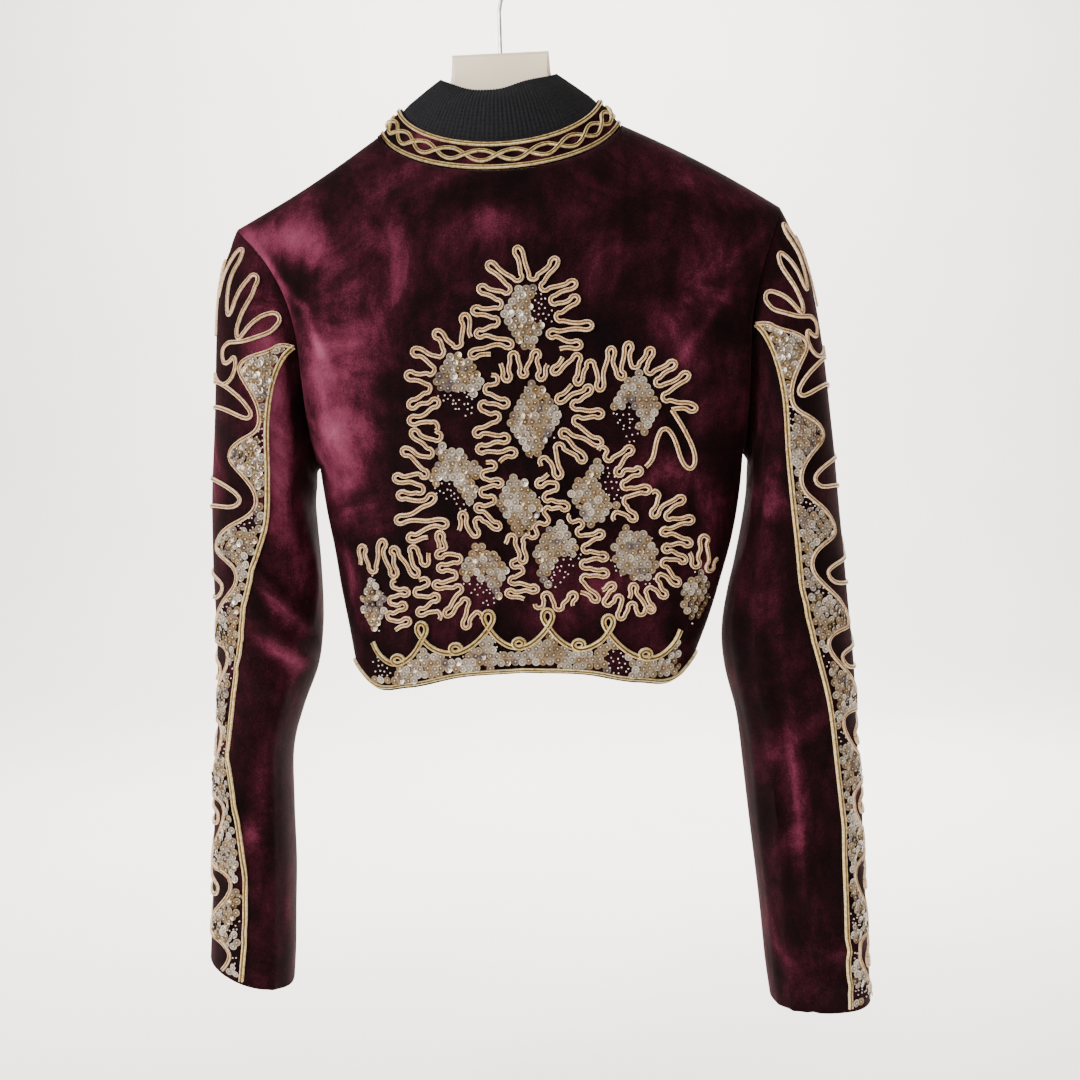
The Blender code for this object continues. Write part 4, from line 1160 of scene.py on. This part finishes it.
# How near a finger may come to a lozenge, to other cords and to the bends of its own
LOZENGE_GAP, CORD_GAP, BEND_GAP = 3.0, 3.4, 4.2
STREETS = (
    # pitch of the fingers, their longest reach, and the way the cord takes
    # round the outside, from the lower left over the top to the right
    (14, 17, ((-62, -462), (-70, -440), (-70, -416), (-60, -398), (-52, -384))),
    (14, 17, ((-52, -384), (-60, -366), (-60, -344), (-48, -326), (-34, -319), (-24, -317))),
    (13.5, 17, (
        (-10, -330), (-11, -306), (-3, -283), (12, -270), (26, -272), (40, -288), (46, -308), (40, -328),
    )),
    (13, 16, ((42, -334), (56, -342), (74, -343), (92, -338), (110, -344), (120, -360), (120, -374))),
    (0, 0, (
        (120, -374), (130, -390), (138, -408), (135, -420), (127, -414), (122, -394), (114, -384),
        (108, -396), (106, -410), (99, -416),
    )),
    # between the lozenges
    (12.5, 11, ((-3, -337), (8, -338), (22, -338), (31, -339))),
    (13.5, 14, ((-10, -345), (-9, -358), (-14, -376), (-12, -394), (-6, -408))),
    (14.0, 15, ((48, -354), (54, -364), (58, -378), (50, -396), (36, -404), (24, -412))),
    (13.0, 13, ((-16, -408), (-17, -428), (-15, -446), (-26, -456), (-38, -457))),
    (13.0, 12, ((29, -418), (33, -434), (30, -446), (20, -458), (8, -470), (-4, -468))),
    (13.0, 13, ((66, -402), (80, -405), (89, -420), (88, -440), (76, -453))),
    (13.0, 13, ((44, -448), (54, -460), (60, -474), (58, -492), (50, -506))),
    (13.0, 13, ((-54, -470), (-44, -470), (-44, -482), (-48, -500), (-38, -516), (-24, -524))),
    (13.0, 13, ((4, -480), (6, -494), (8, -510))),
    (13.0, 13, ((104, -434), (114, -442), (122, -456), (122, -476), (114, -494), (102, -509), (86, -512))),
    (13.0, 13, ((132, -480), (142, -480), (154, -486))),
    (13.0, 15, ((-116, -482), (-98, -480), (-80, -478), (-62, -474))),
    (13.0, 12, ((-88, -494), (-90, -512), (-90, -532))),
    (13.0, 12, ((-70, -494), (-66, -510), (-56, -524))),
    (13.0, 10, ((16, -514), (30, -512), (44, -516))),
    (13.0, 10, ((66, -505), (72, -514), (86, -522), (104, -522))),
)


def in_lozenge(places, row, grow=0.0):
    """Which places are inside a lozenge, their bearing from its middle and how far out they are."""
    x, z, wide, tall, turned, _ = row
    a = math.radians(turned)
    dx, dz = places[:, 0] - x, places[:, 1] - z
    u, v = dx * math.cos(a) + dz * math.sin(a), -dx * math.sin(a) + dz * math.cos(a)
    inside = (abs(u) / (wide + grow)) ** OVAL + (abs(v) / (tall + grow)) ** OVAL < 1
    return inside, np.degrees(np.arctan2(v, u)) % 360, np.hypot(u / wide, v / tall)


def finger_line(spine, pitch, longest, laid, seed):
    """A cord that runs along its way in long rounded fingers to both sides, each as long as the
    open ground lets it."""
    spine = rounded(spine, 0.5)
    if not pitch:
        return rounded(spine[::10])
    chance = np.random.default_rng(seed)
    along = unit(np.gradient(spine, axis=0))
    beside = np.stack([-along[:, 1], along[:, 0]], axis=-1)
    length = 0.5 * (len(spine) - 1)
    count = max(2, round(2 * length / pitch))
    cuts = np.linspace(0, len(spine) - 1, count + 1)
    line, steps = [spine[0]], np.arange(2.0, longest * 1.2, 0.7)
    for k in range(count):
        middle = int((cuts[k] + cuts[k + 1]) / 2)
        half = length / count / 2
        side = beside[middle] * (-1) ** (k + seed)
        way = unit(side + along[middle] * chance.uniform(-0.35, 0.35))
        across = np.array([-way[1], way[0]])
        across = across * np.sign(across @ along[middle])
        reach = 2.0
        most = longest * chance.uniform(0.75, 1.15)
        for t in steps:
            if t > most:
                break
            ring = [spine[middle] + way * t + across * half * w for w in (-0.9, 0, 0.9)]
            test = np.array(ring + [spine[middle] + way * (t + 1.2)])
            if any(in_lozenge(test, row, LOZENGE_GAP)[0].any() for row in LOZENGES):
                break
            if len(laid):
                gap = np.linalg.norm(laid[:, None] - test[None], axis=-1).min()
                if gap < CORD_GAP:
                    break
            if t > 4 and len(line) > 9:
                older = np.array(line[:-5])
                gap = np.linalg.norm(older[:, None] - test[None], axis=-1).min()
                if gap < BEND_GAP:
                    break
            reach = t
        foot, top = spine[middle], spine[middle] + way * reach
        neck = half * (0.66 if reach > 8 else 0.9)
        bow = across * reach * chance.uniform(-0.09, 0.09)
        line += [
            foot - across * neck + way * reach * 0.25,
            foot - across * neck * 0.95 + way * reach * 0.6 + bow,
            top - across * half * 0.98 - way * min(2.8, reach * 0.3),
            top - across * half * 0.5 + way * 0.9,
            top + across * half * 0.5 + way * 0.9,
            top + across * half * 0.98 - way * min(2.8, reach * 0.3),
            foot + across * neck * 0.95 + way * reach * 0.6 + bow,
            foot + across * neck + way * reach * 0.25,
        ]
    line.append(spine[-1])
    return rounded(line, 1.35, 2)


back_skin = on_body(-1)
laid = rounded(scallop_line(hem_bands["back"][1], SCALLOPS))
lines = []
for k, (pitch, longest, spine) in enumerate(STREETS):
    lines.append(finger_line(spine, pitch, longest, laid, k))
    laid = np.concatenate([laid, lines[-1]])
runs = [lay(back_skin, line, CORD_LIFT + 0.25 * (k % 3)) for k, line in enumerate(lines)]
couched("back_meander_silk", runs, 3.2, 1.6, silk_cord, "cream_cord")

# ---------------------------------------------------------------- sequins
# Cup sequins of clear gelatine over foil, 6 mm across, each held by a glass bead in its
# middle. They overlap like scales in lozenges, along the hem and in the sleeves' waves.
SEQUIN, SEQUIN_PITCH = 6.2, 5.3
PEARL_PITCH, PEARL_STRAY = 4.5, 0.3
SEQUIN_OPEN, PEARL_OPEN = 48, 52


def hexagons(low, high, pitch, seed, stray=0.1):
    """Places in staggered rows over a rectangle, each moved a little."""
    chance = np.random.default_rng(seed)
    x, z = np.meshgrid(np.arange(low[0], high[0], pitch), np.arange(low[1], high[1], pitch * 0.866))
    x = x + (np.arange(len(x)) % 2)[:, None] * pitch / 2
    places = np.stack([x.ravel(), z.ravel()], axis=-1)
    return places + chance.uniform(-stray, stray, places.shape) * pitch


def disc(rings, count):
    """A closed round shape from (radius, height) rings, from its foot to its top."""
    turn = np.linspace(0, 2 * math.pi, count, endpoint=False)
    points, faces = [(0, 0, rings[0][1])], []
    for radius, up in rings[1:-1]:
        points += [(radius * math.cos(t), radius * math.sin(t), up) for t in turn]
    points.append((0, 0, rings[-1][1]))
    top = len(points) - 1
    for k in range(count):
        n = (k + 1) % count
        faces.append((0, 1 + n, 1 + k))
        for r in range(len(rings) - 3):
            a, b = 1 + r * count, 1 + (r + 1) * count
            faces.append((a + k, a + n, b + n, b + k))
        faces.append((top, top - count + k, top - count + n))
    return points, faces


def beads_mesh(name, shape, where, out, tilt, spots, seed):
    """Many copies of one small shape, each on its place, with (radius, tint) as its map."""
    chance = np.random.default_rng(seed)
    base, faces = np.array(shape[0]), shape[1]
    radius = np.hypot(base[:, 0], base[:, 1]) / np.hypot(base[:, 0], base[:, 1]).max()
    out = unit(out + chance.normal(0, tilt, out.shape))
    side = unit(np.cross(out, np.array([0.3, 0.2, 1.0])))
    up = np.cross(out, side)
    points = (
        where[:, None]
        + side[:, None] * base[None, :, :1]
        + up[:, None] * base[None, :, 1:2]
        + out[:, None] * base[None, :, 2:]
    )
    handed = np.linalg.det(np.stack([side[0], up[0], out[0]]))
    faces = faces if handed > 0 else [face[::-1] for face in faces]
    mesh = bpy.data.meshes.new(name)
    every = [tuple(k + i * len(base) for k in face) for i in range(len(where)) for face in faces]
    mesh.from_pydata((points.reshape(-1, 3) / 1000).tolist(), [], every)
    mesh.shade_smooth()
    mesh.set_sharp_from_angle(angle=math.radians(50))
    tints = np.repeat(spots, len(base))
    maps = np.stack([np.tile(radius, len(where)), tints], axis=-1)
    put_map(mesh, "ring", maps)
    return mesh


def ring_of(tree):
    """The two halves of a bead's map: how far out on the bead, and its tint."""
    over = add(tree, "ShaderNodeUVMap", uv_map="ring")
    return add(tree, "ShaderNodeSeparateXYZ", [("Vector", over)]).outputs


# Gelatine over silver foil: clear and grey in the shade, bright where the cup turns to the light, some aged
# to gold or mauve. Each cup's light and shade are painted by radius: painted shade in a dark ring round the
# bead and at the rim, and a painted highlight in a bright ring.
gelatine, tree, shader = material_of("gelatine_sequin", Metallic=0.35, Coat_Weight=0.5)
ring = ring_of(tree)
stops = (
    (0.0, "#cfc6bc"), (1.0, "#62545a"), (0.2, "#a99f94"), (0.45, "#988261"), (0.68, "#8a6d42"),
    (0.86, "#786b66"),
)
dye = add(tree, "ShaderNodeValToRGB", [("Fac", ring["Y"])], stops)
# Painted light by radius: dark painted shade round the bead, a painted highlight ring, and painted shade at
# the rim.
stops = (
    (0.2, "#2a1a15"), (1.0, "#5a4a42"), (0.34, "#3c2c26"), (0.5, "#b3a89c"), (0.72, "#a0948a"),
    (0.86, "#f3ece2"), (0.94, "#e2d8cc"),
)
cup = add(tree, "ShaderNodeValToRGB", [("Fac", ring["X"])], stops)
where = add(tree, "ShaderNodeTexCoord").outputs["Object"]
worn = add(tree, "ShaderNodeTexNoise", [("Vector", where)], Scale=260.0, Detail=2.0)
paint = add(
    tree, "ShaderNodeMix", [(6, dye), (7, cup)], data_type="RGBA", blend_type="MULTIPLY", Factor=0.85
)
tree.links.new(paint.outputs[2], shader.inputs["Base Color"])
gloss = shader.inputs["Roughness"]
add(tree, "ShaderNodeMapRange", [("Value", worn)], into=gloss, To_Min=0.12, To_Max=0.42)

# Lustrous glass: a warm bead that takes one bright point of light.
glass, tree, shader = material_of("lustre_glass_bead", Roughness=0.15, Metallic=0.2)
stops = (0.0, "#f3e6dc"), (1.0, "#d9b9a6"), (0.5, "#e9cda0")
add(tree, "ShaderNodeValToRGB", [("Fac", ring_of(tree)["Y"])], stops, shader.inputs["Base Color"])

CUP = disc(((0, 0.0), (SEQUIN / 2, 0.8), (SEQUIN * 0.27, 0.42), (0, 0.35)), 12)
BEAD = disc(((0, 0.3), (0.62, 0.4), (0.55, 0.9), (0, 1.15)), 6)
PEARL = disc(((0, -0.2), (0.55, 0.15), (0.68, 0.6), (0.42, 1.1), (0, 1.3)), 7)

sequin_spots, pearl_spots = {}, {}
chance = np.random.default_rng(7)

found, stray = [], []
for k, row in enumerate(LOZENGES):
    x, z, wide, tall = row[:4]
    low, high = (x - wide - 6, z - tall - 6), (x + wide + 6, z + tall + 6)
    places = hexagons(low, high, SEQUIN_PITCH, 20 + k)
    inside, way, far = in_lozenge(places, row)
    opened = np.zeros(len(places), bool)
    if row[5] is not None:
        opened = (abs((way - row[5] + 180) % 360 - 180) < SEQUIN_OPEN) & (far > 0.22)
    found.append(places[inside & ~opened])
    small = hexagons(low, high, PEARL_PITCH, 60 + k, PEARL_STRAY)
    inside, way, far = in_lozenge(small, row, 2.0)
    if row[5] is not None:
        opened = (abs((way - row[5] + 180) % 360 - 180) < PEARL_OPEN) & (far > 0.15)
    else:
        opened = (far > 0.86) & (np.sin(small[:, 0] * 1.3 + small[:, 1] * 0.7) > 0.2)
    stray.append(small[inside & opened])
sequin_spots["back"] = [(back_skin, np.concatenate(found))]
pearl_spots["back"] = [(back_skin, np.concatenate(stray))]

for name, (skin, foot, cusps) in hem_bands.items():
    low, high = (min(cusps[0], cusps[-1]), -580), (max(cusps[0], cusps[-1]), -515)

    def in_band(places, clear):
        x, z = places[:, 0], places[:, 1]
        hem = np.array([foot(value) for value in x])
        at = np.interp(x, cusps, np.arange(len(cusps)))
        top = hem + SCALLOP_TOP - SCALLOP_FALL * np.sin(math.pi * (at % 1)) ** 0.8
        return (z > hem + 4.0 + clear) & (z < top - 1.6 - clear)

    patch = lambda p: swell(p[:, 0], p[:, 1], 34, 4.0) > 0.5
    places = hexagons(low, high, SEQUIN_PITCH, 91)
    small = hexagons(low, high, PEARL_PITCH, 92, PEARL_STRAY)
    places, small = places[in_band(places, 1.3) & ~patch(places)], small[in_band(small, 0.8) & patch(small)]
    sequin_spots.setdefault(name, []).append((skin, places))
    pearl_spots.setdefault(name, []).append((skin, small))

for (word, edge), (skin, length, half_width) in seam_strips.items():
    low, high = (BORDER_INSET + 4.6, BORDER_START), (54, length - 5)

    def in_wave(places, clear):
        off, down = places[:, 0], places[:, 1]
        level = down - WAVE_SLANT * off
        reach = wave_off(level, half_width(down)) - 1.4 - clear
        return (off > BORDER_INSET + 2.6 + clear) & (off < reach) & (level > BORDER_START - 4)

    patch = lambda p: (swell(p[:, 0] * 1.2, p[:, 1], 38, 2.0) > 0.58) | (p[:, 1] > 540)
    places = hexagons(low, high, SEQUIN_PITCH, 131)
    small = hexagons(low, high, PEARL_PITCH, 132, PEARL_STRAY)
    places, small = places[in_wave(places, 1.7) & ~patch(places)], small[in_wave(small, 0.8) & patch(small)]
    sequin_spots.setdefault("sleeve_" + word, []).append((skin, places))
    pearl_spots.setdefault("sleeve_" + word, []).append((skin, small))


def gather(groups):
    """The points, directions and tints of groups of places on their surfaces."""
    points, ways, tints = [], [], []
    for skin, places in groups:
        if len(places):
            point, out = skin(places[:, 0], places[:, 1])
            points.append(point)
            ways.append(out)
            warm = 0.42 + 0.3 * swell(places[:, 0], places[:, 1], 28, 5.0)
            tints.append(np.clip(warm + chance.normal(0, 0.24, len(places)), 0.02, 0.98))
    return np.concatenate(points), np.concatenate(ways), np.concatenate(tints)


for key in sequin_spots:
    points, ways, tints = gather(sequin_spots[key])
    points = points + ways * chance.uniform(0.1, 0.9, len(points))[:, None]
    for name, shape, tilt, material, slot in (
        (f"sequins_{key}", CUP, 0.16, gelatine, "sequin"),
        (f"sequin_beads_{key}", BEAD, 0.02, glass, "pearl"),
    ):
        link(name, beads_mesh(name, shape, points, ways, tilt, tints, 3), material, slot)

# ---------------------------------------------------------------- pearls
# Small imitation pearls, 1.4 mm across and about 4.5 mm apart, sewn one by one in open ground
# beside the sequins.
pearl, tree, shader = material_of("imitation_pearl", Roughness=0.22, Coat_Weight=0.6)
stops = (0.0, "#f6e9e4"), (1.0, "#d7b7b4"), (0.5, "#ead2cb")
add(tree, "ShaderNodeValToRGB", [("Fac", ring_of(tree)["Y"])], stops, shader.inputs["Base Color"])
for key in pearl_spots:
    points, ways, tints = gather(pearl_spots[key])
    mesh = beads_mesh(f"pearls_{key}", PEARL, points, ways, 0.02, tints, 5)
    link(f"pearls_{key}", mesh, pearl, "pearl")
